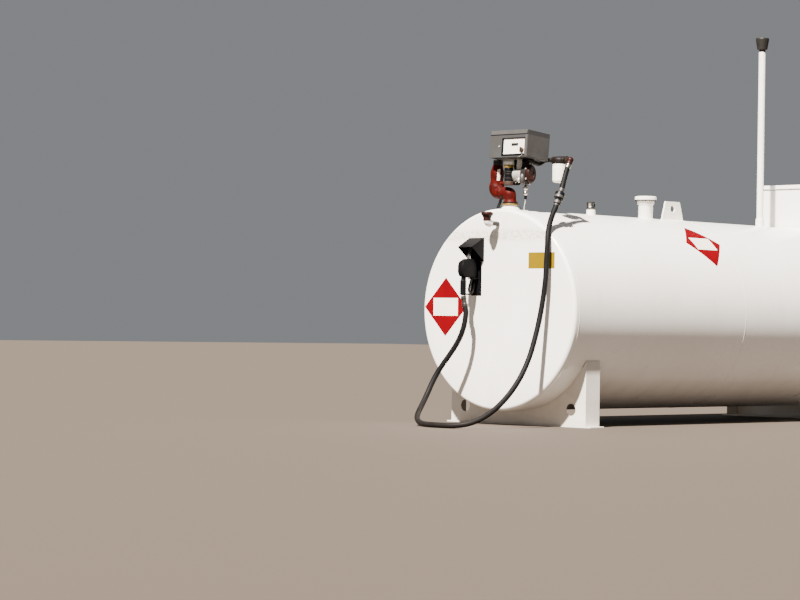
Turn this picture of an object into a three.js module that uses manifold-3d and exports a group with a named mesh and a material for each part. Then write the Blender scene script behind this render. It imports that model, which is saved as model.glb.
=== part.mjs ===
// Horizontal above-ground fuel storage tank on two saddles, with pump, register, filter, hose and nozzle.
// Millimetres, +Z up. The tank lies along Y with its front head towards -Y.
// The origin is on the ground, under the middle of the tank and its fittings.
import * as THREE from 'three';
import { mergeVertices } from 'three/addons/utils/BufferGeometryUtils.js';
import Module from 'manifold-3d';

const wasm = await Module();
wasm.setup();

// Driving dimensions. Inside the tank group, y is measured from the front head's face.
const tankRadius = 655;
const tankLength = 3660;
const axisHeight = 749;
const plate = 6;
const gap = 0.3;
const knuckle = 25;
const headDepth = 50;
const roundSides = 96;
const pipeSides = 24;

const saddleOffset = 213;
const saddleDepth = 140;
const saddleHalfWidth = 578;
const saddleHoleRadius = 40;
const saddleHoleX = 455;
const saddleHoleZ = 113;
const seatAngle = 56.25;
const footHalfWidth = 618;
const footThickness = 8;

const pumpY = 115;
const riserTop = 1430;
const flangeTop = 1440;

const registerSize = { x: 317, y: 220, z: 177 };
const registerCentre = new THREE.Vector3(58.5, 131.5, 1814.9);
const registerTilt = THREE.MathUtils.degToRad(-5.2);
const registerLidHeight = 26;
const windowCentre = { x: 43.5, z: -20.5 };
const windowSize = { x: 194, z: 112 };
const knobCentre = { x: 118, z: -44.5 };

const motorX = 10;
const motorY = 85;
const motorRadius = 31;
const motorFoot = 1586;
const meterY = 110;
const meterZ = 1626;
const meterX = { drum: 45, flange: 118, cover: 155, end: 192 };
const outletY = 270;
const outletZ = 1727;
const filterX = 285;

const hoseRadius = 17.5;
const hoseStart = new THREE.Vector3(370.4, 256.6, 1693);
const breakawayTop = new THREE.Vector3(381, 169, 1511);
const breakawayBottom = new THREE.Vector3(387, 121, 1427);
const nozzleX = -181;
const handleY = -128;
const handleBottom = 838.5;
const swivelLow = new THREE.Vector3(-162, -128, 762);
const swivelHigh = new THREE.Vector3(-180, -127.6, 834);

const fittingY = -110;
const fittingZ = 1306;
const fittingCapRadius = 40;
const elbowTop = 1334;

const gaugeY = 943;
const emergencyVentY = 1540;
const emergencyStubTop = 1524;
const lugY = 1840;
const ventY = 2890;
const ventPipeTop = 2677;
const fillY = 3370;
const fillHalf = 188.5;
const fillFloor = 1412;
const fillRim = 1715.7;
const lidHalf = 196.5;
const lidTop = 1719;
const lidSkirt = 1693;
const hingeY = fillY + lidHalf + 7;
const hingeZ = lidSkirt - 6;

const axisX = new THREE.Vector3(1, 0, 0);
const axisY = new THREE.Vector3(0, 1, 0);
const axisZ = new THREE.Vector3(0, 0, 1);

function finish(color, roughness, metalness) {
  return new THREE.MeshStandardMaterial({ color, roughness, metalness });
}

const whitePaint = finish(0xf1f0ec, 0.35, 0);
const redPaint = finish(0xa8281e, 0.4, 0);
const darkRedPaint = finish(0x6a221c, 0.5, 0);
const greyPaint = finish(0x7c7872, 0.5, 0);
const castSilver = finish(0xb9b8b4, 0.4, 0.9);
const blackMetal = finish(0x1c1c1d, 0.5, 0.3);
const blackPlastic = finish(0x202024, 0.55, 0);
const blackRubber = finish(0x262425, 0.75, 0);
const brownMetal = finish(0x3a2a22, 0.6, 0.6);
const brassMetal = finish(0xb08a3c, 0.4, 0.9);
const creamPaint = finish(0xe6e0d0, 0.4, 0);
const faceWhite = finish(0xeceae2, 0.4, 0);
const darkGreyMetal = finish(0x54524f, 0.5, 0.7);

// Volume enclosed by a closed geometry, negative when its faces point inwards.
function signedVolume(geometry) {
  const flat = geometry.index ? geometry.toNonIndexed() : geometry;
  const position = flat.getAttribute('position');
  const a = new THREE.Vector3();
  const b = new THREE.Vector3();
  const c = new THREE.Vector3();
  let volume = 0;
  for (let i = 0; i < position.count; i += 3) {
    a.fromBufferAttribute(position, i);
    b.fromBufferAttribute(position, i + 1);
    c.fromBufferAttribute(position, i + 2);
    volume += a.dot(b.cross(c)) / 6;
  }
  return volume;
}

// Triangles as one shared-vertex geometry without the slivers that poles leave, faces outwards.
function closed(geometry) {
  const bare = new THREE.BufferGeometry();
  bare.setAttribute('position', geometry.getAttribute('position').clone());
  if (geometry.index) {
    bare.setIndex(geometry.index.clone());
  }
  const merged = mergeVertices(bare, 1e-3);
  const order = merged.index.array;
  const kept = [];
  for (let i = 0; i < order.length; i += 3) {
    const [p, q, r] = [order[i], order[i + 1], order[i + 2]];
    if (p !== q && q !== r && r !== p) {
      kept.push(p, q, r);
    }
  }
  merged.setIndex(kept);
  if (signedVolume(merged) < 0) {
    for (let i = 0; i < kept.length; i += 3) {
      [kept[i + 1], kept[i + 2]] = [kept[i + 2], kept[i + 1]];
    }
    merged.setIndex(kept);
  }
  merged.computeVertexNormals();
  return merged;
}

function toSolid(geometry) {
  const source = closed(geometry);
  return new wasm.Manifold(new wasm.Mesh({
    numProp: 3,
    vertProperties: new Float32Array(source.getAttribute('position').array),
    triVerts: new Uint32Array(source.index.array),
  }));
}

function toGeometry(solid) {
  const mesh = solid.getMesh();
  const geometry = new THREE.BufferGeometry();
  geometry.setAttribute('position', new THREE.BufferAttribute(new Float32Array(mesh.vertProperties), 3));
  geometry.setIndex(new THREE.BufferAttribute(new Uint32Array(mesh.triVerts), 1));
  geometry.computeVertexNormals();
  return geometry;
}

function joined(geometries) {
  return toGeometry(geometries.map(toSolid).reduce((whole, piece) => whole.add(piece)));
}

function cut(geometry, cutters) {
  const whole = toSolid(geometry);
  return toGeometry(cutters.map(toSolid).reduce((left, cutter) => left.subtract(cutter), whole));
}

// A profile of [radius, height] points turned about Y, Z or X.
function turnedY(profile, sides) {
  return new THREE.LatheGeometry(profile.map(([r, h]) => new THREE.Vector2(r, h)), sides);
}

function turnedZ(profile, sides = pipeSides) {
  return turnedY(profile, sides).rotateX(Math.PI / 2);
}

function turnedX(profile, sides = pipeSides) {
  return turnedY(profile, sides).rotateZ(-Math.PI / 2);
}

function outline(points) {
  return new THREE.Shape(points.map(([x, y]) => new THREE.Vector2(x, y)));
}

// Points are [y, z]; the plate stands across X, centred on x.
function plateAcrossX(points, width, x, bevel = 0) {
  const geometry = new THREE.ExtrudeGeometry(outline(points), {
    depth: width - 2 * bevel,
    bevelEnabled: bevel > 0,
    bevelThickness: bevel,
    bevelSize: bevel,
    bevelOffset: -bevel,
    bevelSegments: 2,
    curveSegments: 12,
  });
  geometry.translate(0, 0, bevel - width / 2);
  geometry.applyMatrix4(new THREE.Matrix4().makeBasis(axisY, axisZ, axisX));
  return geometry.translate(x, 0, 0);
}

// Points are [x, z]; the plate runs from y to y + depth.
function plateAlongY(points, y, depth) {
  const geometry = new THREE.ExtrudeGeometry(outline(points), { depth, bevelEnabled: false });
  geometry.applyMatrix4(new THREE.Matrix4().makeBasis(axisX, axisZ, axisY.clone().negate()));
  return geometry.translate(0, y + depth, 0);
}

function block(low, high) {
  const size = high.map((value, i) => value - low[i]);
  const middle = high.map((value, i) => (value + low[i]) / 2);
  return new THREE.BoxGeometry(...size).translate(...middle);
}

function rod(radius, from, to, sides = pipeSides) {
  const start = new THREE.Vector3(...from);
  const end = new THREE.Vector3(...to);
  const geometry = new THREE.CylinderGeometry(radius, radius, start.distanceTo(end), sides);
  const turn = new THREE.Quaternion().setFromUnitVectors(axisY, end.clone().sub(start).normalize());
  geometry.applyQuaternion(turn);
  return geometry.translate(...start.add(end).multiplyScalar(0.5).toArray());
}

function ball(radius, centre) {
  return new THREE.SphereGeometry(radius, 16, 10).translate(...centre);
}

// A round bar or hose along a smooth line through the points.
function bentRod(points, radius, sides, steps) {
  const circle = new THREE.Shape();
  for (let i = 0; i < sides; i += 1) {
    const turn = (2 * Math.PI * i) / sides;
    const point = [radius * Math.cos(turn), radius * Math.sin(turn)];
    if (i === 0) {
      circle.moveTo(...point);
    } else {
      circle.lineTo(...point);
    }
  }
  const line = new THREE.CatmullRomCurve3(points, false, 'centripetal');
  return new THREE.ExtrudeGeometry(circle, { steps, bevelEnabled: false, extrudePath: line });
}

// A turned piece whose axis runs from one point to another.
function turnedBetween(profile, from, to) {
  const turn = new THREE.Quaternion().setFromUnitVectors(axisY, to.clone().sub(from).normalize());
  return turnedY(profile, pipeSides).applyQuaternion(turn).translate(...from.toArray());
}

// Round body that cuts what stands on the shell, a gap larger than the shell itself.
function tankBody(radius) {
  return turnedY([[0, -100], [radius, -100], [radius, tankLength + 100], [0, tankLength + 100]], roundSides)
    .translate(0, 0, axisHeight);
}

const shellCutter = tankBody(tankRadius + gap);

const tank = new THREE.Group();

function add(name, geometry, material, parent = tank) {
  const mesh = new THREE.Mesh(closed(geometry), material);
  mesh.name = name;
  parent.add(mesh);
  return mesh;
}

// Shell: two rolled courses and two flanged heads.
function shellCourse(from, to) {
  const inner = tankRadius - plate;
  const profile = [[inner, from], [tankRadius, from], [tankRadius, to], [inner, to], [inner, from]];
  return turnedY(profile, roundSides).translate(0, 0, axisHeight);
}

function flangedHead() {
  const arc = (radius) => [0, 1, 2, 3].map((step) => {
    const turn = (Math.PI / 2) * (step / 3);
    return [tankRadius - knuckle + radius * Math.sin(turn), knuckle - radius * Math.cos(turn)];
  });
  const profile = [
    [0, 0],
    ...arc(knuckle),
    [tankRadius, headDepth],
    [tankRadius - plate, headDepth],
    ...arc(knuckle - plate).reverse(),
    [0, plate],
  ];
  return turnedY(profile, roundSides);
}

const seam = tankLength / 2;
add('shell_front_course', shellCourse(headDepth + gap, seam - gap / 2), whitePaint);
add('shell_rear_course', shellCourse(seam + gap / 2, tankLength - headDepth - gap), whitePaint);
add('front_head', flangedHead(), whitePaint).position.z = axisHeight;
const rearHead = add('rear_head', flangedHead(), whitePaint);
rearHead.rotation.z = Math.PI;
rearHead.position.set(0, tankLength, axisHeight);

// Saddles: a pressed web with side returns, a rolled seat under the shell and a foot plate.
function saddleWeb() {
  const [w, d, t] = [saddleHalfWidth, saddleDepth, plate];
  const channel = outline([[-w, 0], [w, 0], [w, d], [w - t, d], [w - t, t], [t - w, t], [t - w, d], [-w, d]]);
  const blank = new THREE.ExtrudeGeometry(channel, { depth: 450, bevelEnabled: false })
    .translate(0, saddleOffset, footThickness + gap);
  const holes = [-1, 1].map((side) => rod(
    saddleHoleRadius,
    [side * saddleHoleX, saddleOffset - 20, saddleHoleZ],
    [side * saddleHoleX, saddleOffset + 20, saddleHoleZ],
  ));
  return cut(blank, [tankBody(tankRadius + plate + 2 * gap), ...holes]);
}

function saddleSeat() {
  const step = 360 / roundSides;
  const steps = Math.round((2 * seatAngle) / step);
  const arc = (radius) => Array.from({ length: steps + 1 }, (_, i) => {
    const turn = THREE.MathUtils.degToRad(i * step - seatAngle);
    return [radius * Math.sin(turn), axisHeight - radius * Math.cos(turn)];
  });
  const outer = arc(tankRadius + gap + plate);
  const inner = arc(tankRadius + gap);
  return plateAlongY([...outer, ...inner.reverse()], saddleOffset, saddleDepth);
}

function saddleFoot() {
  return block(
    [-footHalfWidth, saddleOffset, 0],
    [footHalfWidth, saddleOffset + saddleDepth, footThickness],
  );
}

const rearEnd = new THREE.Group();
rearEnd.rotation.z = Math.PI;
rearEnd.position.y = tankLength;
tank.add(rearEnd);
for (const [end, parent] of [['front', tank], ['rear', rearEnd]]) {
  add(`${end}_saddle_web`, saddleWeb(), whitePaint, parent);
  add(`${end}_saddle_seat`, saddleSeat(), whitePaint, parent);
  add(`${end}_saddle_foot`, saddleFoot(), whitePaint, parent);
}

// Pump: riser, flange, red casting that bends round the motor, and the meter it carries.
add('pump_riser', cut(
  turnedZ([[0, 1380], [62, 1380], [62, 1404], [45, riserTop], [0, riserTop]], 48).translate(0, pumpY, 0),
  [shellCutter],
), whitePaint);
add('pump_flange', turnedZ([
  [0, riserTop + gap], [55, riserTop + gap], [55, flangeTop], [0, flangeTop],
]).translate(0, pumpY, 0), brassMetal);

const register = new THREE.Group();
register.position.copy(registerCentre);
register.rotation.x = registerTilt;
register.updateMatrix();
const registerBlock = new THREE.BoxGeometry(
  registerSize.x + 2 * gap,
  registerSize.y + 2 * gap,
  registerSize.z + 2 * gap,
).applyMatrix4(register.matrix);

// The casting rises from the flange, bends left and up to the register, and its arm carries motor and meter.
const bulgeX = -121;
const lobeZ = 1513;
const armZ = 1573;
const casting = joined([
  turnedZ([
    [0, flangeTop + gap], [48, flangeTop + gap], [48, 1449], [39, 1456], [37, 1480], [37, 1500], [0, 1500],
  ]).translate(0, pumpY, 0),
  ball(43, [0, pumpY, lobeZ - 9]),
  rod(36, [bulgeX, pumpY, lobeZ], [0, pumpY, lobeZ]),
  ball(50, [bulgeX, pumpY, 1536]),
  rod(33, [bulgeX, pumpY, 1540], [bulgeX, pumpY, 1650]),
  new THREE.CapsuleGeometry(41, 13, 6, 20).rotateX(Math.PI / 2).translate(bulgeX, pumpY, 1643.5),
  rod(31, [-110, pumpY, 1650], [-110, pumpY, 1760]),
  rod(13, [bulgeX, pumpY, armZ], [72, pumpY, armZ]),
  rod(motorRadius, [motorX, motorY, armZ - 12], [motorX, motorY, motorFoot]),
  block([46, pumpY - 12, armZ], [72, pumpY + 12, meterZ - 30]),
]);
const drumRadius = 40;
add('pump_casting', cut(casting, [
  registerBlock,
  rod(drumRadius + 2 * gap, [meterX.drum - gap, meterY, meterZ], [meterX.drum + 100, meterY, meterZ], 48),
]), redPaint);

const [ringOut, ringIn] = [motorRadius, motorRadius - 2];
add('pump_motor', turnedZ([
  [0, motorFoot + gap], [ringIn, motorFoot + gap], [ringIn, 1606], [ringOut, 1607], [ringOut, 1613],
  [ringIn, 1614], [ringIn, 1634], [ringOut, 1635], [ringOut, 1646], [ringIn, 1647], [ringIn, 1675],
  [ringOut + 1, 1676], [ringOut + 1, 1696], [ringOut - 3, 1700], [0, 1700],
]).translate(motorX, motorY, 0), blackMetal);

// The meter's drum, oval flange and outlet block are one casting; its oval cover closes the right end.
const oval = 0.69;
const outletBack = 140;
const ovalFlange = turnedX([
  [0, meterX.flange], [58, meterX.flange], [64, meterX.flange + 6], [64, meterX.cover - gap],
  [0, meterX.cover - gap],
], 32).scale(1, oval, 1).translate(0, meterY, meterZ + 3);
const meter = joined([
  turnedX([
    [0, meterX.drum], [36, meterX.drum], [drumRadius, meterX.drum + 4], [drumRadius, meterX.flange + 2],
    [0, meterX.flange + 2],
  ], 32).translate(0, meterY, meterZ),
  ovalFlange,
  new THREE.SphereGeometry(1, 20, 12).scale(15, 22, 37).translate(meterX.cover - 15.3, 72, 1598),
  block([meterX.flange + 3, 84, 1670], [meterX.cover - gap, outletBack, 1760]),
  block([meterX.flange + 3, 84, 1703], [178, outletBack, 1760]),
]);
add('meter_body', cut(meter, [registerBlock]), castSilver);
add('meter_cover', turnedX([
  [0, meterX.cover], [70, meterX.cover], [70, meterX.cover + 14], [63, meterX.cover + 20],
  [57, meterX.end - 5], [50, meterX.end], [0, meterX.end],
], 32).scale(1, oval, 1).translate(0, meterY, meterZ + 4), darkRedPaint);

// Register: tilted housing with a lid, a face sunk in its front and a reset knob.
const halfRegister = { x: registerSize.x / 2, y: registerSize.y / 2, z: registerSize.z / 2 };
const lidBottom = halfRegister.z - registerLidHeight;
const cheek = 3;
const recess = 8;
add('register_housing', cut(
  new THREE.BoxGeometry(registerSize.x, registerSize.y, registerSize.z),
  [
    block(
      [cheek - halfRegister.x, -halfRegister.y - 10, lidBottom - gap],
      [halfRegister.x - cheek, halfRegister.y + 10, halfRegister.z + 10],
    ),
    block(
      [windowCentre.x - windowSize.x / 2, -halfRegister.y - 10, windowCentre.z - windowSize.z / 2],
      [windowCentre.x + windowSize.x / 2, recess - halfRegister.y, windowCentre.z + windowSize.z / 2],
    ),
  ],
), greyPaint, register);
add('register_lid', block(
  [cheek + gap - halfRegister.x, -halfRegister.y, lidBottom],
  [halfRegister.x - cheek - gap, halfRegister.y, halfRegister.z],
), greyPaint, register);
const faceThickness = 5 - gap;
const faceBack = recess - gap - halfRegister.y;
add('register_face', new THREE.BoxGeometry(windowSize.x - 2 * gap, faceThickness, windowSize.z - 2 * gap)
  .translate(windowCentre.x, faceBack - faceThickness / 2, windowCentre.z), faceWhite, register);
const knobBack = faceBack - faceThickness - gap;
add('reset_knob', joined([
  turnedY([[0, knobBack], [12, knobBack], [12, knobBack - 10], [9, knobBack - 12], [0, knobBack - 12]], 24),
  block([-4, knobBack - 24, -13], [4, knobBack - 8, 13]),
]).translate(knobCentre.x, 0, knobCentre.z), darkGreyMetal, register);
tank.add(register);

// Outlet: pipe back under the register, filter and the swivel that the hose hangs from.
add('outlet_pipe', bentRod([
  [140, outletBack + gap, 1708], [140, 160, 1708], [140, 200, 1704], [140, 232, 1701], [143, 252, 1708],
  [152, 267, 1721], [175, outletY, outletZ], [filterX - 60 - gap, outletY, outletZ],
].map((point) => new THREE.Vector3(...point)), 13.4, 12, 22), brownMetal);
add('filter_head', joined([
  turnedZ([[0, 1700], [50, 1700], [50, 1728], [42, 1742], [0, 1750]]).translate(filterX, outletY, 0),
  rod(22, [filterX - 60, outletY, outletZ], [filterX + 64, outletY, outletZ]),
]), darkGreyMetal);
add('filter_canister', turnedZ([
  [0, 1577], [30, 1578], [43, 1584], [47, 1596], [47, 1692], [44, 1700 - gap], [0, 1700 - gap],
]).translate(filterX, outletY, 0), creamPaint);
const swivelCorner = [372, outletY, 1722];
add('hose_swivel', joined([
  rod(20, [filterX + 64 + gap, outletY, 1722], swivelCorner),
  ball(22, swivelCorner),
  rod(19, swivelCorner, hoseStart.toArray()),
]), darkRedPaint);

// Hose: upper length, breakaway coupling, long lower length down to the ground and up to the nozzle.
// A hose starts square to the coupling that ends at the face, a gap away from it.
function hoseEnd(face, behind) {
  const outwards = face.clone().sub(behind).normalize();
  return [gap, 25].map((distance) => face.clone().add(outwards.clone().multiplyScalar(distance)));
}

const upperRoute = [[369.5, 226, 1624], [373.5, 204, 1578]].map((point) => new THREE.Vector3(...point));
const lowerRoute = [
  [396, 70, 1354], [407, 39, 1316], [421, 10, 1276], [436, -17, 1236], [446, -31, 1190],
  [450, -38, 1130], [452, -46, 1040], [454, -56, 940], [450, -67, 845], [446, -84, 748], [443, -104, 665],
  [440, -132, 573], [437, -175, 462], [434, -232, 361], [429, -302, 270], [419, -385, 187],
  [401, -476, 115], [368, -566, 60], [318, -630, 30], [250, -672, 19], [170, -690, 18], [80, -684, 18],
  [-15, -648, 18], [-100, -594, 20], [-180, -536, 29], [-243, -482, 49], [-288, -424, 78], [-316, -367, 116],
  [-333, -316, 162], [-339, -276, 213], [-336, -245, 267], [-321, -219, 324], [-293, -197, 383],
  [-254, -177, 445], [-215, -160, 508], [-183, -147, 572], [-162, -138, 640], [-155, -131, 702],
].map((point) => new THREE.Vector3(...point));
add('hose_upper', bentRod([
  ...hoseEnd(hoseStart, new THREE.Vector3(...swivelCorner)),
  ...upperRoute,
  ...hoseEnd(breakawayTop, breakawayBottom).reverse(),
], hoseRadius, 8, 5), blackRubber);
add('breakaway', turnedBetween([
  [0, 0], [20, 0], [20, 14], [27, 18], [27, 78], [20, 82], [20, breakawayTop.distanceTo(breakawayBottom)],
  [0, breakawayTop.distanceTo(breakawayBottom)],
], breakawayTop, breakawayBottom), blackMetal);
add('hose_lower', bentRod([
  ...hoseEnd(breakawayBottom, breakawayTop),
  ...lowerRoute,
  ...hoseEnd(swivelLow, swivelHigh).reverse(),
], hoseRadius, 8, 56), blackRubber);

// Nozzle: it hangs spout up in its boot, resting on the fork of the boot plate.
add('nozzle_swivel', turnedBetween([
  [0, 0], [19, 0], [19, 22], [16, 26], [16, 50], [18, 54], [18, swivelLow.distanceTo(swivelHigh)],
  [0, swivelLow.distanceTo(swivelHigh)],
], swivelLow, swivelHigh), brownMetal);
const bodyBottom = 955;
const bodyTop = 1077;
const pivotY = -52;
const pivotZ = 946;
const pinRadius = 2.2;
const lugHalf = 2.5;
const leverHalf = 6.5;
add('nozzle_body', cut(
  joined([
    rod(17, [nozzleX, handleY, handleBottom], [nozzleX, handleY, 980], 24),
    plateAcrossX([
      [-112, bodyBottom], [-31, bodyBottom], [-22, 975], [-22, 1010], [-28, 1050], [-48, bodyTop],
      [-112, bodyTop], [-152, 1058], [-163, 1030], [-163, 990], [-151, 964],
    ], 46, nozzleX, 6),
    block([nozzleX - lugHalf, pivotY - 6, pivotZ], [nozzleX + lugHalf, pivotY + 6, bodyBottom + 5]),
    rod(6, [nozzleX - lugHalf, pivotY, pivotZ], [nozzleX + lugHalf, pivotY, pivotZ], 16),
  ]),
  [rod(pinRadius + 0.4, [nozzleX - 10, pivotY, pivotZ], [nozzleX + 10, pivotY, pivotZ], 16)],
), blackPlastic);
add('nozzle_spout', bentRod([
  [nozzleX, -78, bodyTop + gap], [nozzleX, -78, 1092], [nozzleX, -71, 1130], [nozzleX, -58, 1162],
].map((point) => new THREE.Vector3(...point)), 11, 12, 6), castSilver);
const guardLine = [
  [-37, bodyBottom - gap], [-37, 935], [-37, 900], [-41, 870], [-54, 851], [-80, 847], [-110.5, 847],
];
add('nozzle_guard', bentRod(
  guardLine.map(([y, z]) => new THREE.Vector3(nozzleX, y, z)),
  5.5, 8, 16,
), blackPlastic);
// The lever is a channel whose two cheeks hold a pin through the lug of the nozzle body.
add('nozzle_lever', joined([
  cut(
    joined([
      rod(6, [nozzleX - leverHalf, pivotY, pivotZ], [nozzleX + leverHalf, pivotY, pivotZ], 16),
      plateAcrossX([
        [pivotY - 6, pivotZ], [pivotY - 10, 930], [-72, 906], [-80, 882], [-76, 861], [-66, 863],
        [-68, 882], [-62, 905], [pivotY, 930], [pivotY + 6, pivotZ],
      ], 2 * leverHalf, nozzleX),
    ]),
    [block([nozzleX - lugHalf - 0.7, -80, pivotZ - 12], [nozzleX + lugHalf + 0.7, -20, pivotZ + 20])],
  ),
  rod(pinRadius, [nozzleX - leverHalf, pivotY, pivotZ], [nozzleX + leverHalf, pivotY, pivotZ], 16),
]), blackMetal);

// Boot on the front head: an open-bottomed hood and the plate with the fork that carries the nozzle.
const hoodHalf = 62.5;
const sheet = 3;
const hoodTop = 1217;
const hoodTip = [-110, 1154];
const hoodLow = 1062;
add('boot_hood', cut(
  plateAcrossX([[-gap, hoodTop], [-gap, hoodLow], hoodTip, [-gap - 6, hoodTop]], 2 * hoodHalf, nozzleX),
  [plateAcrossX([
    [-gap - sheet, hoodTop - 4], [-gap - sheet, hoodLow - 60], [hoodTip[0] - 60, hoodTip[1] - 60],
    [hoodTip[0] + 3, hoodTip[1] - 2.2], [-gap - 7, hoodTop - 4],
  ], 2 * (hoodHalf - sheet), nozzleX)],
), blackPlastic);
const forkTop = bodyBottom - gap;
add('boot_plate', joined([
  block([nozzleX - 44, -gap - sheet, 840], [nozzleX + 44, -gap, hoodLow - gap]),
  ...[-17, 17].map((side) => block(
    [nozzleX + side - 5, -62, forkTop - 8],
    [nozzleX + side + 5, -gap - 1, forkTop],
  )),
]), blackPlastic);

// Capped elbow on the front head.
add('head_nipple', rod(15, [0, -80, fittingZ], [0, -gap, fittingZ]), brownMetal);
add('head_elbow', joined([
  rod(23, [0, fittingY, fittingZ], [0, -80 - gap, fittingZ]),
  ball(24, [0, fittingY, fittingZ]),
  rod(23, [0, fittingY, fittingZ], [0, fittingY, elbowTop]),
]), whitePaint);
add('head_elbow_cap', turnedZ([
  [0, elbowTop + gap], [30, elbowTop + gap], [30, 1339], [fittingCapRadius, 1345], [fittingCapRadius, 1358],
  [32, 1371], [15, 1379], [0, 1380],
]).translate(0, fittingY, 0), brownMetal);

// Fittings along the top of the shell.
add('level_gauge', cut(turnedZ([
  [0, 1385], [30, 1385], [30, 1438], [28.5, 1439], [28.5, 1474], [25, 1483], [18, 1486], [0, 1486],
]).translate(0, gaugeY, 0), [shellCutter]), whitePaint);

// The vent's cap lifts on a stem that runs in a guide bar, up to the collar at the stem's foot.
const stubBore = 51;
const stemRadius = 8;
const guideLow = 1456;
const ventLift = 38;
const collarTop = guideLow - ventLift - 0.5;
const stubTube = turnedZ([
  [stubBore, 1370], [57, 1370], [57, emergencyStubTop], [stubBore, emergencyStubTop], [stubBore, 1370],
], 32);
const guideBar = cut(
  block([-stubBore - 2, -10, guideLow], [stubBore + 2, 10, guideLow + 8]),
  [rod(stemRadius + 0.5, [0, 0, guideLow - 5], [0, 0, guideLow + 15])],
);
add('emergency_vent_stub', cut(
  joined([stubTube, guideBar]).translate(0, emergencyVentY, 0),
  [shellCutter],
), whitePaint);
add('emergency_vent_cap', turnedZ([
  [0, 1411], [13, 1411], [13, collarTop], [stemRadius, collarTop], [stemRadius, emergencyStubTop + gap],
  [70, emergencyStubTop + gap], [70, emergencyStubTop - 5], [75, emergencyStubTop - 5], [75, 1549],
  [71, 1555], [0, 1556],
], 32).translate(0, emergencyVentY, 0), whitePaint);

add('lifting_lug', cut(
  plateAcrossX([[lugY - 124, 1395], [lugY + 124, 1395], [lugY + 81, 1534], [lugY - 81, 1534]], 12, 0),
  [rod(25, [-20, lugY, 1484], [20, lugY, 1484]), shellCutter],
), whitePaint);

add('vent_pipe', cut(turnedZ([
  [0, 1380], [31, 1380], [31, 1460], [24.15, 1463], [24.15, ventPipeTop], [0, ventPipeTop],
]).translate(0, ventY, 0), [shellCutter]), whitePaint);
add('vent_cap', turnedZ([
  [0, ventPipeTop + gap], [23, ventPipeTop + gap], [23, 2696], [36.5, 2696], [48, 2766], [49, 2775],
  [45, 2780], [0, 2782],
]).translate(0, ventY, 0), darkGreyMetal);

// Fill box: an open box on a neck, its hinged lid, and the capped fill pipe inside.
const boxWall = 4;
const fillBoxBody = joined([
  cut(
    block([-fillHalf, fillY - fillHalf, fillFloor], [fillHalf, fillY + fillHalf, fillRim]),
    [block(
      [boxWall - fillHalf, fillY - fillHalf + boxWall, fillFloor + boxWall],
      [fillHalf - boxWall, fillY + fillHalf - boxWall, fillRim + 50],
    )],
  ),
  rod(70, [0, fillY, 1380], [0, fillY, fillFloor + 1]),
  block([-50, fillY + fillHalf - 1, hingeZ - 4], [50, hingeY, hingeZ + 4]),
  rod(6, [-50, hingeY, hingeZ], [50, hingeY, hingeZ], 16),
]);
add('fill_box', cut(fillBoxBody, [shellCutter]), whitePaint);
const lidSheet = 3;
const lidArms = [-1, 1].flatMap((side) => {
  const [near, far] = [side * 56, side * 140];
  const [low, high] = [Math.min(near, far), Math.max(near, far)];
  return [
    block([low, fillY + lidHalf - 1, hingeZ - 4], [high, hingeY, lidSkirt + 14]),
    rod(6, [low, hingeY, hingeZ], [high, hingeY, hingeZ], 16),
  ];
});
add('fill_box_lid', joined([
  cut(
    block([-lidHalf, fillY - lidHalf, lidSkirt], [lidHalf, fillY + lidHalf, lidTop]),
    [block(
      [lidSheet - lidHalf, fillY - lidHalf + lidSheet, lidSkirt - 50],
      [lidHalf - lidSheet, fillY + lidHalf - lidSheet, lidTop - lidSheet],
    )],
  ),
  ...lidArms,
]), whitePaint);
add('fill_pipe_cap', turnedZ([
  [0, fillFloor + boxWall + gap], [57, fillFloor + boxWall + gap], [57, 1560], [64, 1562], [64, 1588],
  [30, 1592], [30, 1600], [0, 1600],
]).translate(0, fillY, 0), castSilver);

const frontReach = fittingCapRadius - fittingY;
tank.position.y = -(tankLength - frontReach) / 2;
const group = new THREE.Group();
group.add(tank);

export default group;
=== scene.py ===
import math

import bmesh
import bpy
import numpy as np
from mathutils import Matrix, Vector


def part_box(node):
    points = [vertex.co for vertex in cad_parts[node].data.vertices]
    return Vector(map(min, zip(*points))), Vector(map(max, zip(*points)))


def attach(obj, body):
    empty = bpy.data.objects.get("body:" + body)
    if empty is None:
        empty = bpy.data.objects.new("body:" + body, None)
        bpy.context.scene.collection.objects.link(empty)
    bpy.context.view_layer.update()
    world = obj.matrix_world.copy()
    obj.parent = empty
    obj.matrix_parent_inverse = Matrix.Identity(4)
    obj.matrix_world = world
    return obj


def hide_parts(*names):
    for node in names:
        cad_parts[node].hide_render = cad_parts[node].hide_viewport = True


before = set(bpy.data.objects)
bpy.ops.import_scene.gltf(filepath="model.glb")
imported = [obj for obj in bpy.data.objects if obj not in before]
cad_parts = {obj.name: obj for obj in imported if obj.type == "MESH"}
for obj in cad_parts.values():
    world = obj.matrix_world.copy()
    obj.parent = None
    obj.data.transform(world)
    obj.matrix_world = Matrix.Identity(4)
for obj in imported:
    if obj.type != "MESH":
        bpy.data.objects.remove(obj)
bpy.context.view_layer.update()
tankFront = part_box("front_head")[0].y
print("frame loaded:", len(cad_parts), "nodes")


# Helpers for shapes. A shape is an array of points in millimetres and a list of faces.

mergeReach = 0.01  # points closer than this become one


# Millimetres measured from the tank's front head to metres in the frame.
def place(points):
    return np.asarray(points, float) / 1000 + (0, tankFront, 0)


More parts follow.
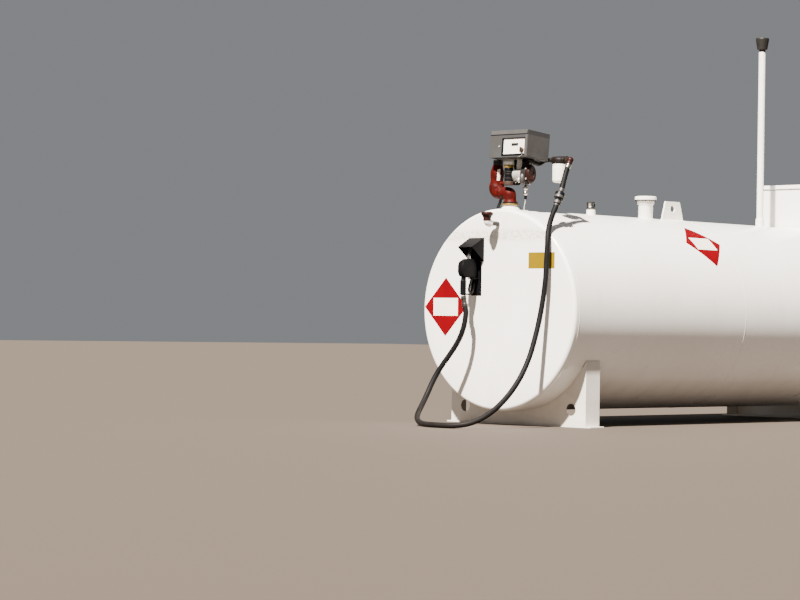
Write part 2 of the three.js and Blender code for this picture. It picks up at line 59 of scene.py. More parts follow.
# One object from a shape, on its body. Poles are closed by merging their points, and edges past the smooth
# angle stay sharp.
def addPiece(name, shape, material, body="tank", replaces=(), smooth=35, merge=False):
    points, faces = shape
    mesh = bpy.data.meshes.new(name)
    mesh.from_pydata(place(points).tolist(), [], [list(map(int, face)) for face in faces])
    work = bmesh.new()
    work.from_mesh(mesh)
    if merge:
        bmesh.ops.remove_doubles(work, verts=work.verts, dist=mergeReach / 1000)
    bmesh.ops.recalc_face_normals(work, faces=work.faces)
    work.to_mesh(mesh)
    work.free()
    return finishPiece(mesh, material, body, replaces, smooth)


# The mesh as an object of its own name, with its finish, its body and the nodes that it stands for.
def finishPiece(mesh, material, body, replaces, smooth=35):
    mesh.shade_smooth()
    mesh.set_sharp_from_angle(angle=math.radians(smooth))
    mesh.materials.clear()
    mesh.materials.append(material)
    piece = bpy.data.objects.new(mesh.name, mesh)
    bpy.context.scene.collection.objects.link(piece)
    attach(piece, body)
    if replaces:
        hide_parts(*([replaces] if isinstance(replaces, str) else replaces))
    return piece


# A CAD node that keeps its shape and gets a better finish.
def refinish(node, material):
    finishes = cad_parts[node].data.materials
    finishes.clear()
    finishes.append(material)


# Quads of a grid of points stored row by row, closed round either way.
def gridFaces(rows, columns, closeRows=False, closeColumns=True):
    index = np.arange(rows * columns).reshape(rows, columns)
    if closeRows:
        index = np.vstack([index, index[:1]])
    if closeColumns:
        index = np.hstack([index, index[:, :1]])
    corners = (index[:-1, :-1], index[:-1, 1:], index[1:, 1:], index[1:, :-1])
    return np.stack([corner.ravel() for corner in corners], axis=1).tolist()


# An open profile whose inner corners are replaced by short curves that start a radius from the corner.
def eased(points, radius, steps=4):
    points = np.asarray(points, float)
    out = [points[0]]
    for before, corner, after in zip(points[:-2], points[1:-1], points[2:]):
        intoCorner, outOfCorner = before - corner, after - corner
        reach = min(radius, 0.45 * np.linalg.norm(intoCorner), 0.45 * np.linalg.norm(outOfCorner))
        if reach < 0.05:
            out.append(corner)
            continue
        start = corner + intoCorner / np.linalg.norm(intoCorner) * reach
        end = corner + outOfCorner / np.linalg.norm(outOfCorner) * reach
        t = np.linspace(0, 1, steps + 1)[:, None]
        out.extend((1 - t) ** 2 * start + 2 * t * (1 - t) * corner + t ** 2 * end)
    out.append(points[-1])
    return np.array(out)


# Surface of revolution: a point (radius, height) runs round the axis through the centre.
def turned(profile, centre, axis="z", sides=64, soften=0.0, closed=False):
    profile = np.asarray(profile, float)
    if soften > 0:
        profile = eased(profile, soften)
    angle = np.linspace(0, 2 * math.pi, sides, endpoint=False)
    radius, height = profile[:, :1], profile[:, 1:]
    flatU, flatV = radius * np.cos(angle), radius * np.sin(angle)
    along = np.broadcast_to(height, flatU.shape)
    order = {"z": (flatU, flatV, along), "x": (along, flatU, flatV), "y": (flatV, along, flatU)}[axis]
    points = np.stack(order, axis=-1).reshape(-1, 3) + centre
    return points, gridFaces(len(profile), sides, closeRows=closed)


# A cylinder between two heights with its rims rounded.
def drum(radius, low, high, centre, axis="z", soften=1.0, sides=64):
    return turned([(0, low), (radius, low), (radius, high), (0, high)], centre, axis, sides, soften)


# A ring of four corners between two radii and two heights.
def collar(inner, outer, low, high, centre, axis="z", sides=56, soften=0.5):
    corners = [(inner, low), (outer, low), (outer, high), (inner, high)]
    return turned(corners, centre, axis, sides, soften, closed=True)


# A ball round the centre, stretched by its half sizes.
def ball(centre, half):
    angle = np.linspace(0, math.pi, 13)
    points, faces = turned(np.stack([np.sin(angle), -np.cos(angle)], axis=1), (0, 0, 0), "z", 40)
    return points * half + centre, faces


# A turned piece of its own, with closed poles.
def addTurned(name, profile, centre, material, axis="z", sides=64, soften=0.0, closed=False, **more):
    return addPiece(name, turned(profile, centre, axis, sides, soften, closed), material, merge=True, **more)


# Centripetal Catmull-Rom curve through the points, with steps of about the spacing.
def smoothLine(points, spacing):
    points = np.asarray(points, float)
    ends = np.vstack([2 * points[0] - points[1], points, 2 * points[-1] - points[-2]])
    knots = np.concatenate([[0], np.cumsum(np.linalg.norm(np.diff(ends, axis=0), axis=1) ** 0.5)])
    out = []
    for i in range(1, len(ends) - 2):
        p0, p1, p2, p3 = ends[i - 1:i + 3]
        t0, t1, t2, t3 = knots[i - 1:i + 3]
        count = max(2, int(np.ceil(np.linalg.norm(p2 - p1) / spacing)))
        t = np.linspace(t1, t2, count, endpoint=False)[:, None]
        a1 = (t1 - t) / (t1 - t0) * p0 + (t - t0) / (t1 - t0) * p1
        a2 = (t2 - t) / (t2 - t1) * p1 + (t - t1) / (t2 - t1) * p2
        a3 = (t3 - t) / (t3 - t2) * p2 + (t - t2) / (t3 - t2) * p3
        b1 = (t2 - t) / (t2 - t0) * a1 + (t - t0) / (t2 - t0) * a2
        b2 = (t3 - t) / (t3 - t1) * a2 + (t - t1) / (t3 - t1) * a3
        out.append((t2 - t) / (t2 - t1) * b1 + (t - t1) / (t2 - t1) * b2)
    return np.vstack([*out, points[-1:]])


# Two unit vectors across the line at each of its points, turned as little as possible along it.
def lineFrames(line, closed=False):
    tangent = np.roll(line, -1, axis=0) - np.roll(line, 1, axis=0) if closed else np.gradient(line, axis=0)
    tangent /= np.linalg.norm(tangent, axis=1)[:, None]
    side = np.cross(tangent[0], (0.31, 0.17, 0.93))
    sides = [side / np.linalg.norm(side)]
    for direction in tangent[1:]:
        side = sides[-1] - direction * (sides[-1] @ direction)
        sides.append(side / np.linalg.norm(side))
    first = np.array(sides)
    return first, np.cross(tangent, first)


# Round tube along a line; the radius may change from point to point. Open ends are capped.
def swept(line, radius, sides=20, closed=False):
    line = np.asarray(line, float)
    first, second = lineFrames(line, closed)
    angle = np.linspace(0, 2 * math.pi, sides, endpoint=False)
    radius = np.broadcast_to(np.asarray(radius, float), len(line))[:, None, None]
    ring = np.cos(angle)[:, None] * first[:, None] + np.sin(angle)[:, None] * second[:, None]
    points = (line[:, None] + radius * ring).reshape(-1, 3)
    faces = gridFaces(len(line), sides, closeRows=closed)
    if not closed:
        faces += [list(range(sides)), list(range(len(points) - sides, len(points)))]
    return points, faces


# Eight corners and six faces of an upright box.
def box(low, high):
    low, high = np.minimum(low, high), np.maximum(low, high)
    picks = np.array([[x, y, z] for z in (0, 1) for y in (0, 1) for x in (0, 1)])
    faces = [[0, 2, 3, 1], [4, 5, 7, 6], [0, 1, 5, 4], [2, 6, 7, 3], [0, 4, 6, 2], [1, 3, 7, 5]]
    return np.where(picks, high, low), faces


# A thin slab between two grids of points: both faces, and a rim that joins them.
def slab(upper, under):
    rows, columns = upper.shape[:2]
    count = rows * columns
    faces = np.array(gridFaces(rows, columns, closeColumns=False))
    grid = np.arange(count).reshape(rows, columns)
    rim = np.concatenate([grid[0, :-1], grid[:-1, -1], grid[-1, :0:-1], grid[:0:-1, 0]])
    sides = np.stack([rim, np.roll(rim, -1), np.roll(rim, -1) + count, rim + count], axis=1)
    return np.concatenate([upper, under]).reshape(-1, 3), np.vstack([faces, faces[:, ::-1] + count, sides])


# Several shapes as one list of points and faces.
def together(*shapes):
    points, faces, start = [], [], 0
    for shapePoints, shapeFaces in shapes:
        points.append(np.asarray(shapePoints, float))
        faces += [[corner + start for corner in face] for face in shapeFaces]
        start += len(shapePoints)
    return np.vstack(points), faces


# Rounds the piece's sharp edges, so that they catch the light.
def bevelled(piece, width, segments=2):
    edge = piece.modifiers.new("edge radius", "BEVEL")
    edge.width = width / 1000
    edge.segments = segments
    edge.limit_method = "ANGLE"
    edge.angle_limit = math.radians(40)
    edge.harden_normals = True
    return piece


# A copy of a CAD node, joined up and with rounded edges, that stands for the node.
def easedNode(node, name, material, width, body="tank", segments=2):
    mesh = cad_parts[node].data.copy()
    mesh.name = name
    work = bmesh.new()
    work.from_mesh(mesh)
    bmesh.ops.remove_doubles(work, verts=work.verts, dist=mergeReach / 1000)
    bmesh.ops.dissolve_limit(work, angle_limit=math.radians(1), verts=work.verts, edges=work.edges)
    work.to_mesh(mesh)
    work.free()
    return bevelled(finishPiece(mesh, material, body, node), width, segments)


# Hexagon heads on round washers, one at each centre, standing along the axis. A washer or a head is a ring of
# points carried up in three steps, the last one drawn in as a chamfer.
def hexHeads(name, centres, axis, across, height, material):
    axis = np.asarray(axis, float) / np.linalg.norm(axis)
    first = np.cross(axis, (0.3, 0.5, 0.81))
    first /= np.linalg.norm(first)
    second = np.cross(axis, first)
    shapes = []
    for sides, radius, low, high in ((16, 0.62 * across, 0, 0.12 * height),
                                     (6, 0.577 * across, 0.1 * height, height)):
        angle = np.linspace(0, 2 * math.pi, sides, endpoint=False)
        ring = radius * (np.cos(angle)[:, None] * first + np.sin(angle)[:, None] * second)
        chamfer = 0.18 * (high - low)
        rings = np.vstack([ring + axis * low, ring + axis * (high - chamfer), ring * 0.88 + axis * high])
        faces = gridFaces(3, sides) + [list(range(sides)), list(range(2 * sides, 3 * sides))]
        shapes += [(rings + centre, faces) for centre in np.atleast_2d(centres)]
    return addPiece(name, together(*shapes), material, smooth=30)


# Bolt centres on a circle round an x axis, squeezed from front to back.
def boltCircle(centre, radius, count, start, squeeze=1.0):
    angle = np.radians(360 / count * np.arange(count) + start)
    circle = [np.zeros(count), radius * squeeze * np.cos(angle), radius * np.sin(angle)]
    return np.stack(circle, axis=1) + centre


# Helpers for materials

# sRGB hex colour to linear RGBA.
def linear(hexColour):
    value = np.array([int(hexColour[i:i + 2], 16) for i in (1, 3, 5)]) / 255
    colour = np.where(value <= 0.04045, value / 12.92, ((value + 0.055) / 1.055) ** 2.4)
    return (*colour.tolist(), 1.0)


# One node with its settings and links. A key is a socket's name or number, or a property. A link comes from a
# node's first output, or from a pair of a node and its output.
def addNode(tree, kind, settings=None, links=None):
    node = tree.nodes.new(f"ShaderNode{kind}")
    for key, value in (settings or {}).items():
        if isinstance(key, str) and hasattr(node, key):
            setattr(node, key, value)
        else:
            node.inputs[key].default_value = value
    for key, source in (links or {}).items():
        origin, output = source if isinstance(source, tuple) else (source, 0)
        tree.links.new(origin.outputs[output], node.inputs[key])
    return node


# What a recipe for a finish leaves out.
usualFinish = {
    "dirtShare": 0.4, "dirtRange": (0.56, 0.8), "metallic": 0.0, "ior": 1.5, "specular": 0.5, "coat": 0.0,
}


# Base colour broken by blotches and specks of dirt, with uneven gloss and a fine relief. Patterns are noise
# on Object coordinates. A recipe's colours are the clean one, the worn one and the dirt. Its sizes are
# millimetres across one blotch, one speck and one grain, its relief is the grain's height, and its wave is a
# length and a height.
def surface(name, slot, recipe, extra=None):
    recipe = {**usualFinish, **recipe}
    material = bpy.data.materials.new(name)
    material["slot"] = slot
    material.use_nodes = True
    tree = material.node_tree
    tree.nodes.clear()
    spot = (addNode(tree, "TexCoord"), "Object")
    clean, worn, dirt = [linear(colour) for colour in recipe["colours"]]
    blotch, speck, grain = [
        addNode(tree, "TexNoise", {"Scale": 1000 / size, "Detail": detail, "Roughness": rough}, {0: spot})
        for size, detail, rough in zip(recipe["sizes"], (5, 6, 3), (0.6, 0.7, 0.5))
    ]
    wornMask = addNode(tree, "MapRange", {"From Min": 0.35, "From Max": 0.7}, {0: blotch})
    tone = addNode(tree, "Mix", {"data_type": "RGBA", 6: clean, 7: worn}, {0: wornMask})
    few, full = recipe["dirtRange"]
    dirtMask = addNode(tree, "MapRange", {"From Min": few, "From Max": full, "To Max": recipe["dirtShare"]},
                       {0: speck})
    colour = (addNode(tree, "Mix", {"data_type": "RGBA", 7: dirt}, {0: dirtMask, 6: (tone, 2)}), 2)
    if extra:
        colour = extra(tree, spot, colour)
    low, high = recipe["roughness"]
    gloss = addNode(tree, "MapRange", {"From Min": 0.3, "From Max": 0.7, "To Min": low, "To Max": high},
                    {0: blotch})
    bump = addNode(tree, "Bump", {"Strength": 1.0, "Distance": recipe["relief"] / 1000}, {"Height": grain})
    if "wave" in recipe:
        length, height = recipe["wave"]
        wave = addNode(tree, "TexNoise", {"Scale": 1000 / length, "Detail": 1}, {0: spot})
        bump = addNode(tree, "Bump", {"Strength": 1.0, "Distance": height / 1000},
                       {"Height": wave, "Normal": bump})
    shader = addNode(tree, "BsdfPrincipled", {
        "Metallic": recipe["metallic"], "IOR": recipe["ior"], "Specular IOR Level": recipe["specular"],
        "Coat Weight": recipe["coat"], "Coat Roughness": 0.12,
    }, {"Base Color": colour, "Roughness": gloss, "Normal": bump})
    addNode(tree, "OutputMaterial", {}, {"Surface": shader})
    return material


# Materials, each from a typical finish and then matched to the tank

# Darkening on the lowest half metre, which is painted shade and a painted reflection of the floor mixed with
# splashed dust, faint runs down the sides and a dusty band near the top of the head. Each is a share from 0
# to 1 that mixes in its colour; heights are metres.
def tankGrimeAndShade(tree, spot, colour):
    parts = addNode(tree, "SeparateXYZ", {}, {0: spot})
    # Painted shade and painted reflection of the floor, with some dust: the enamel darkens towards the
    # bottom.
    low = addNode(tree, "MapRange", {"From Min": 0.42, "From Max": 0.02, "To Max": 0.5}, {0: (parts, "Z")})
    stretch = addNode(tree, "Mapping", {"Scale": (9, 9, 0.9)}, {0: spot})
    runs = addNode(tree, "TexNoise", {"Scale": 1.0, "Detail": 4}, {0: stretch})
    runMask = addNode(tree, "MapRange", {"From Min": 0.56, "From Max": 0.85, "To Max": 0.08}, {0: runs})
    dustAndShade = addNode(tree, "Math", {"operation": "MULTIPLY_ADD", "use_clamp": True},
                   {0: low, 1: runs, 2: runMask})
    dustyAndShaded = addNode(tree, "Mix", {"data_type": "RGBA", 7: linear("#9A8A76")}, {0: dustAndShade, 6: colour})
    height = addNode(tree, "Math", {"operation": "SUBTRACT", 1: 1.232}, {0: (parts, "Z")})
    away = addNode(tree, "Math", {"operation": "ABSOLUTE"}, {0: height})
    band = addNode(tree, "MapRange", {"From Min": 0.052, "From Max": 0.018}, {0: away})
    onFront = addNode(tree, "Math", {"operation": "LESS_THAN", 1: tankFront + 0.02}, {0: (parts, "Y")})
    mottle = addNode(tree, "TexNoise", {"Scale": 60, "Detail": 5, "Roughness": 0.7}, {0: spot})
    mottled = addNode(tree, "MapRange", {"From Min": 0.38, "From Max": 0.64, "To Max": 0.6}, {0: mottle})
    frontBand = addNode(tree, "Math", {"operation": "MULTIPLY"}, {0: band, 1: onFront})
    stain = addNode(tree, "Math", {"operation": "MULTIPLY"}, {0: frontBand, 1: mottled})
    return addNode(tree, "Mix", {"data_type": "RGBA", 7: linear("#9C8F66")}, {0: stain, 6: (dustyAndShaded, 2)}), 2


# Dust from the floor on the lowest third of a metre, patchy as the noise that breaks it up.
def floorDust(tree, spot, colour):
    parts = addNode(tree, "SeparateXYZ", {}, {0: spot})
    low = addNode(tree, "MapRange", {"From Min": 0.3, "From Max": 0.03, "To Max": 0.5}, {0: (parts, "Z")})
    patches = addNode(tree, "TexNoise", {"Scale": 28, "Detail": 4}, {0: spot})
    share = addNode(tree, "Math", {"operation": "MULTIPLY"}, {0: low, 1: patches})
    return addNode(tree, "Mix", {"data_type": "RGBA", 7: linear("#26201B")}, {0: share, 6: colour}), 2


# Gloss alkyd enamel rolled on steel plate: bright, slightly wavy, chalky where the weather has dulled it
whiteEnamel = surface("glossAlkydEnamelWhite", "white_paint", {
    "colours": ("#F6F4F0", "#F1EEE8", "#B5A994"), "dirtShare": 0.08, "sizes": (420, 34, 5),
    "roughness": (0.24, 0.36), "relief": 0.03, "wave": (260, 0.5), "coat": 0.25,
}, tankGrimeAndShade)
# The same enamel on the saddles, darkened as painted shade where the tank shades them, with splashed dust
shadeAndDustEnamel = surface("glossAlkydEnamelShadeAndDust", "white_paint", {
    "colours": ("#DEDAD2", "#D2CABD", "#9A8A74"), "dirtShare": 0.3, "sizes": (160, 26, 5),
    "roughness": (0.34, 0.5), "relief": 0.04,
})
# The same enamel brushed on small fittings, thicker and less wavy
whiteFittingEnamel = surface("brushedEnamelWhite", "white_paint", {
    "colours": ("#F2F0EB", "#E6E2D8", "#8F8270"), "dirtShare": 0.3, "sizes": (60, 12, 4),
    "roughness": (0.3, 0.48), "relief": 0.12,
})
# Semi-gloss enamel over a sand casting: the casting's grain shows, and dust settles in it
redEnamel = surface("enamelledCastIronRed", "red_paint", {
    "colours": ("#490D09", "#260706", "#120504"), "dirtShare": 0.75, "dirtRange": (0.5, 0.68),
    "sizes": (38, 16, 4), "roughness": (0.42, 0.58), "relief": 0.35, "specular": 0.06,
})
# Faded maroon enamel on cast aluminium, browned by weather
maroonEnamel = surface("enamelledCastAluminiumMaroon", "dark_red_paint", {
    "colours": ("#2B0F0A", "#160907", "#2A1710"), "dirtShare": 0.35, "sizes": (30, 9, 3),
    "roughness": (0.4, 0.56), "relief": 0.25, "specular": 0.15,
})
# Sand-cast aluminium left bare: dull silver with a coarse skin
bareAluminium = surface("sandCastAluminium", "cast_aluminium", {
    "colours": ("#C9C7C1", "#ABA8A1", "#5C564C"), "sizes": (35, 8, 2.5), "roughness": (0.34, 0.52),
    "relief": 0.2, "metallic": 0.5,
})
# The same casting greyed by fuel and dust
weatheredAluminium = surface("sandCastAluminiumGreyed", "cast_aluminium", {
    "colours": ("#454241", "#373432", "#231F1B"), "sizes": (30, 7, 2.5), "roughness": (0.4, 0.55),
    "relief": 0.2, "metallic": 0.4,
})
# Air-dried grey enamel on folded sheet steel, chalked by the sun
greyEnamel = surface("enamelledSheetSteelGrey", "grey_paint", {
    "colours": ("#393A3B", "#343331", "#23201C"), "dirtShare": 0.35, "sizes": (110, 10, 3),
    "roughness": (0.4, 0.55), "relief": 0.06, "specular": 0.3,
})
# The same enamel chalked paler, on the lid; on the door's fold its paler tone is a painted highlight, and on
# the side plates painted light on the shaded sides
chalkedEnamelAndPaintedLight = surface("chalkedGreyAndPaintedLight", "grey_paint", {
    "colours": ("#474646", "#3D3B39", "#23201C"), "dirtShare": 0.3, "sizes": (90, 9, 3),
    "roughness": (0.42, 0.56), "relief": 0.06, "specular": 0.3,
})
# Brown-grey primer on a casting, dull and dusty
taupePrimer = surface("dustyPrimerTaupe", "dark_red_paint", {
    "colours": ("#3A2D25", "#2C221C", "#4A3B2E"), "sizes": (25, 7, 3), "roughness": (0.5, 0.68),
    "relief": 0.2, "specular": 0.2,
})
# Fired white enamel of a counter face: even and clean behind its glass
faceEnamel = surface("firedEnamelWhite", "white_enamel", {
    "colours": ("#F0EDE2", "#E8E3D4", "#B9AF98"), "dirtShare": 0.2, "sizes": (60, 9, 5),
    "roughness": (0.25, 0.35), "relief": 0.02,
})
# Black enamel on turned steel, rubbed to a soft shine
blackEnamel = surface("enamelledSteelBlack", "black_paint", {
    "colours": ("#0B0C10", "#111215", "#22211F"), "dirtShare": 0.3, "sizes": (40, 7, 3),
    "roughness": (0.3, 0.44), "relief": 0.08, "specular": 0.15,
})
# Bare machined steel gone dark grey with oil and dust
darkSteel = surface("oiledSteelDark", "dark_grey_metal", {
    "colours": ("#2B2927", "#201F1D", "#302921"), "sizes": (30, 6, 2), "roughness": (0.36, 0.5),
    "relief": 0.08, "metallic": 0.35, "specular": 0.3,
})
# Black iron pipe with a brown oxide skin
brownIron = surface("oxidisedMalleableIron", "brown_iron", {
    "colours": ("#140E0B", "#0E0A08", "#24170F"), "dirtShare": 0.45, "sizes": (25, 6, 2.5),
    "roughness": (0.48, 0.62), "relief": 0.2, "metallic": 0.1, "specular": 0.15,
})
# Yellow passivated zinc, rubbed and stained
zincPlate = surface("passivatedZincYellow", "yellow_zinc", {
    "colours": ("#9A8044", "#7A6230", "#3A2C18"), "sizes": (18, 6, 2), "roughness": (0.35, 0.55),
    "relief": 0.06, "metallic": 0.6,
})
# Bright nickel plate on small turned fittings: mirrors its surroundings, dulled in patches
nickelPlate = surface("platedNickelBright", "cast_aluminium", {
    "colours": ("#B9B7B2", "#96938C", "#3F3A33"), "dirtShare": 0.5, "sizes": (14, 5, 2),
    "roughness": (0.16, 0.34), "relief": 0.05, "metallic": 1.0,
})
# Baked cream enamel of a spin-on canister
creamEnamel = surface("bakedEnamelCream", "cream_paint", {
    "colours": ("#F6F3EA", "#EFEAD9", "#B7A888"), "dirtShare": 0.2, "sizes": (50, 10, 4),
    "roughness": (0.22, 0.34), "relief": 0.03,
})
# Nitrile rubber hose cover: smooth, grey-black, dusty near the ground
hoseRubber = surface("nitrileRubberCover", "hose_rubber", {
    "colours": ("#0D0D0E", "#131213", "#272421"), "dirtShare": 0.18, "sizes": (90, 14, 2),
    "roughness": (0.52, 0.64), "relief": 0.06, "ior": 1.52, "specular": 0.08,
}, floorDust)
# Moulded vinyl nozzle cover: satin black with a fine pebble
mouldedVinyl = surface("mouldedVinylBlack", "black_plastic", {
    "colours": ("#08080A", "#0D0D0F", "#1C1A19"), "dirtShare": 0.18, "sizes": (40, 8, 1.5),
    "roughness": (0.46, 0.58), "relief": 0.06, "ior": 1.35, "specular": 0.08,
})
# Cast vinyl film, slightly faded: thin, smooth and even
yellowFilm, redFilm, paleFilm = [
    surface(f"castVinylFilm{name}", "white_paint", {
        "colours": colours, "dirtShare": dirtShare, "sizes": (120, 18, 6), "roughness": roughness,
        "relief": 0.02, "specular": specular,
    }) for name, colours, dirtShare, roughness, specular in (
        ("Yellow", ("#755F00", "#6E5900", "#534205"), 0.12, (0.45, 0.55), 0.04),
        ("Red", ("#64000A", "#5C000A", "#400308"), 0.12, (0.45, 0.55), 0.03),
        ("Pale", ("#F1E9DC", "#EADFCF", "#B3A284"), 0.15, (0.3, 0.42), 0.5),
    )
]
print("materials made:", len(bpy.data.materials))


# Camera, light and floor

# The focal length is in pixels of an image 800 wide, and the angles are radians.
camera = {"place": (10947, -12453, 616), "focal": 2557.13, "imageWidth": 800, "sensorWidth": 36.0,
          "yaw": 0.7591, "pitch": 0.0112, "roll": 0.0158}


# Yaw and pitch give the way forward, and the roll turns the level line and the upright about it.
def addCamera():
    yaw, pitch, roll = camera["yaw"], camera["pitch"], camera["roll"]
    forward = np.array([-math.sin(yaw) * math.cos(pitch), math.cos(yaw) * math.cos(pitch), math.sin(pitch)])
    level = np.array([math.cos(yaw), math.sin(yaw), 0.0])
    upright = np.cross(level, forward)
    right = math.cos(roll) * level + math.sin(roll) * upright
    up = -math.sin(roll) * level + math.cos(roll) * upright
    lens = bpy.data.cameras.new("view")
    lens.sensor_width = camera["sensorWidth"]
    lens.lens = camera["focal"] * camera["sensorWidth"] / camera["imageWidth"]
    lens.clip_end = 200  # metres
    view = bpy.data.objects.new("view", lens)
    bpy.context.scene.collection.objects.link(view)
    turn = Matrix([right, up, -forward]).transposed().to_4x4()
    view.matrix_world = Matrix.Translation(Vector(place(camera["place"]))) @ turn
    bpy.context.scene.camera = view


studio = {
    "sunTravel": (-0.19, 0.586, -0.788), "sunStrength": 27, "sunSpread": 2.2, "sunColour": "#FFF6EC",
    "skyColour": "#EDF1F6", "skyStrength": 0.27, "floorColour": "#443A31", "floorReach": 60,  # metres
}


# One sun lamp, a soft even sky and a plain floor.
def addStudio():
    sun = bpy.data.lights.new("key", "SUN")
    sun.energy = studio["sunStrength"]
    sun.angle = math.radians(studio["sunSpread"])
    sun.color = linear(studio["sunColour"])[:3]
    key = bpy.data.objects.new("key", sun)
    key.rotation_mode = "QUATERNION"
    key.rotation_quaternion = Vector(studio["sunTravel"]).to_track_quat("-Z", "Y")
    bpy.context.scene.collection.objects.link(key)
    world = bpy.data.worlds.new("softSky")
    world.use_nodes = True
    sky = world.node_tree.nodes["Background"]
    sky.inputs["Color"].default_value = linear(studio["skyColour"])
    sky.inputs["Strength"].default_value = studio["skyStrength"]
    bpy.context.scene.world = world
    mesh = bpy.data.meshes.new("floor")
    reach = studio["floorReach"]
    mesh.from_pydata([(-reach, -reach, 0), (reach, -reach, 0), (reach, reach, 0), (-reach, reach, 0)], [],
                     [(0, 1, 2, 3)])
    mesh.materials.append(surface("floorPaper", "white_paint", {
        "colours": [studio["floorColour"]] * 3, "sizes": (900, 60, 4), "roughness": (0.85, 0.85), "relief": 0,
    }))
    floor = bpy.data.objects.new("floor", mesh)
    bpy.context.scene.collection.objects.link(floor)


addCamera()
addStudio()
print("camera and studio ready")


# Hose: its two lengths follow the same points as their solids

hose = {
    "radius": 17.5, "gap": 0.3, "straight": 25, "spacing": 12, "sides": 20,
    "swivelCorner": (372, 270, 1722), "start": (370.4, 256.6, 1693),
    "breakawayTop": (381, 169, 1511), "breakawayBottom": (387, 121, 1427),
    "swivelLow": (-162, -128, 762), "swivelHigh": (-180, -127.6, 834),
    "upper": [(369.5, 226, 1624), (373.5, 204, 1578)],
    "lower": [
        (396, 70, 1354), (407, 39, 1316), (421, 10, 1276), (436, -17, 1236), (446, -31, 1190),
        (450, -38, 1130), (452, -46, 1040), (454, -56, 940), (450, -67, 845), (446, -84, 748),
        (443, -104, 665), (440, -132, 573), (437, -175, 462), (434, -232, 361), (429, -302, 270),
        (419, -385, 187),
        (401, -476, 115), (368, -566, 60), (318, -630, 30), (250, -672, 19), (170, -690, 18), (80, -684, 18),
        (-15, -648, 18), (-100, -594, 20), (-180, -536, 29), (-243, -482, 49), (-288, -424, 78),
        (-316, -367, 116), (-333, -316, 162), (-339, -276, 213), (-336, -245, 267), (-321, -219, 324),
        (-293, -197, 383), (-254, -177, 445), (-215, -160, 508), (-183, -147, 572), (-162, -138, 640),
        (-155, -131, 702),
    ],
}


# Two points where a hose starts square to the coupling that ends at the face.
def hoseEnd(face, behind):
    face, behind = np.array(face, float), np.array(behind, float)
    outwards = (face - behind) / np.linalg.norm(face - behind)
    return [face + outwards * hose["gap"], face + outwards * hose["straight"]]


# One tube from the swivel to the nozzle; inside the breakaway it runs straight through.
def addHose():
    line = smoothLine([
        *hoseEnd(hose["start"], hose["swivelCorner"]), *hose["upper"],
        *hoseEnd(hose["breakawayTop"], hose["breakawayBottom"])[::-1],
        *hoseEnd(hose["breakawayBottom"], hose["breakawayTop"]), *hose["lower"],
        *hoseEnd(hose["swivelLow"], hose["swivelHigh"])[::-1],
    ], hose["spacing"])
    tube = swept(line, hose["radius"], hose["sides"])
    return addPiece("hose_tube", tube, hoseRubber, replaces=("hose_upper", "hose_lower")), place(line)


hoseTube, hoseLine = addHose()


# A turned shape whose axis runs from one point to another; heights are measured from the first.
def turnedBetween(profile, start, end, soften):
    start, end = np.array(start, float), np.array(end, float)
    points, faces = turned(profile, (0, 0, 0), "z", 48, soften)
    turn = Vector((0, 0, 1)).rotation_difference(Vector(end - start)).to_matrix()
    return points @ np.array(turn).T + start, faces


# Breakaway with its rings, the crimped ferrule at the hose's start, and the nozzle's swivel.
def addCouplings():
    top, bottom = np.array(hose["breakawayTop"]), np.array(hose["breakawayBottom"])
    reach = float(np.linalg.norm(bottom - top))
    body = [(0, 0), (20, 0), (20, 3), (25, 5), (30, 8), (32.5, 13), (32.5, 52), (30, 57), (25, 60), (22, 63),
            (22, 66), (25, 68), (25, reach - 3), (22, reach), (0, reach)]
    breakaway = addPiece("breakaway_coupling", turnedBetween(body, top, bottom, 1.5), blackEnamel,
                         replaces="breakaway", merge=True)
    sizes = [(17.8, 19.4, -22, -12), (17.8, 18.6, -12, -0.5), (30, 33.6, 34, 51), (23, 26.2, 72, 92),
             (17.8, 19.5, reach + 0.5, reach + 10)]
    profiles = [[(inner, low), (outer, low), (outer, high), (inner, high), (inner, low)]
                for inner, outer, low, high in sizes]
    rings = [turnedBetween(profile, top, bottom, 0.8) for profile in profiles]
    bands = addPiece("breakaway_rings", together(*rings), weatheredAluminium, merge=True)
    start = np.array(hose["start"])
    down = (start - hose["swivelCorner"]) / np.linalg.norm(start - hose["swivelCorner"])
    crimp = [(17.8, 0), (19.6, 0), (20, 2), (20, 7), (19.2, 9), (19.4, 24), (17.8, 26)]
    addPiece("hose_ferrule", turnedBetween(crimp, start + 0.5 * down, start + 31 * down, 0.6), nickelPlate,
             merge=True)
    low, high = np.array(hose["swivelLow"]), np.array(hose["swivelHigh"])
    length = float(np.linalg.norm(high - low))
    joint = [(0, 0), (19, 0), (19, 20), (17, 23), (16, 26), (16, 50), (18, 54), (18, length), (0, length)]
    swivel = addPiece("nozzle_swivel_joint", turnedBetween(joint, low, high, 1.5), darkSteel,
                      replaces="nozzle_swivel", merge=True)
    return breakaway, bands, swivel


breakaway, breakawayRings, nozzleSwivel = addCouplings()


nozzle = {"x": -181, "tipY": -78, "gripY": -130.5, "guardStretch": 3.0}  # the guard is a wide, thin strip


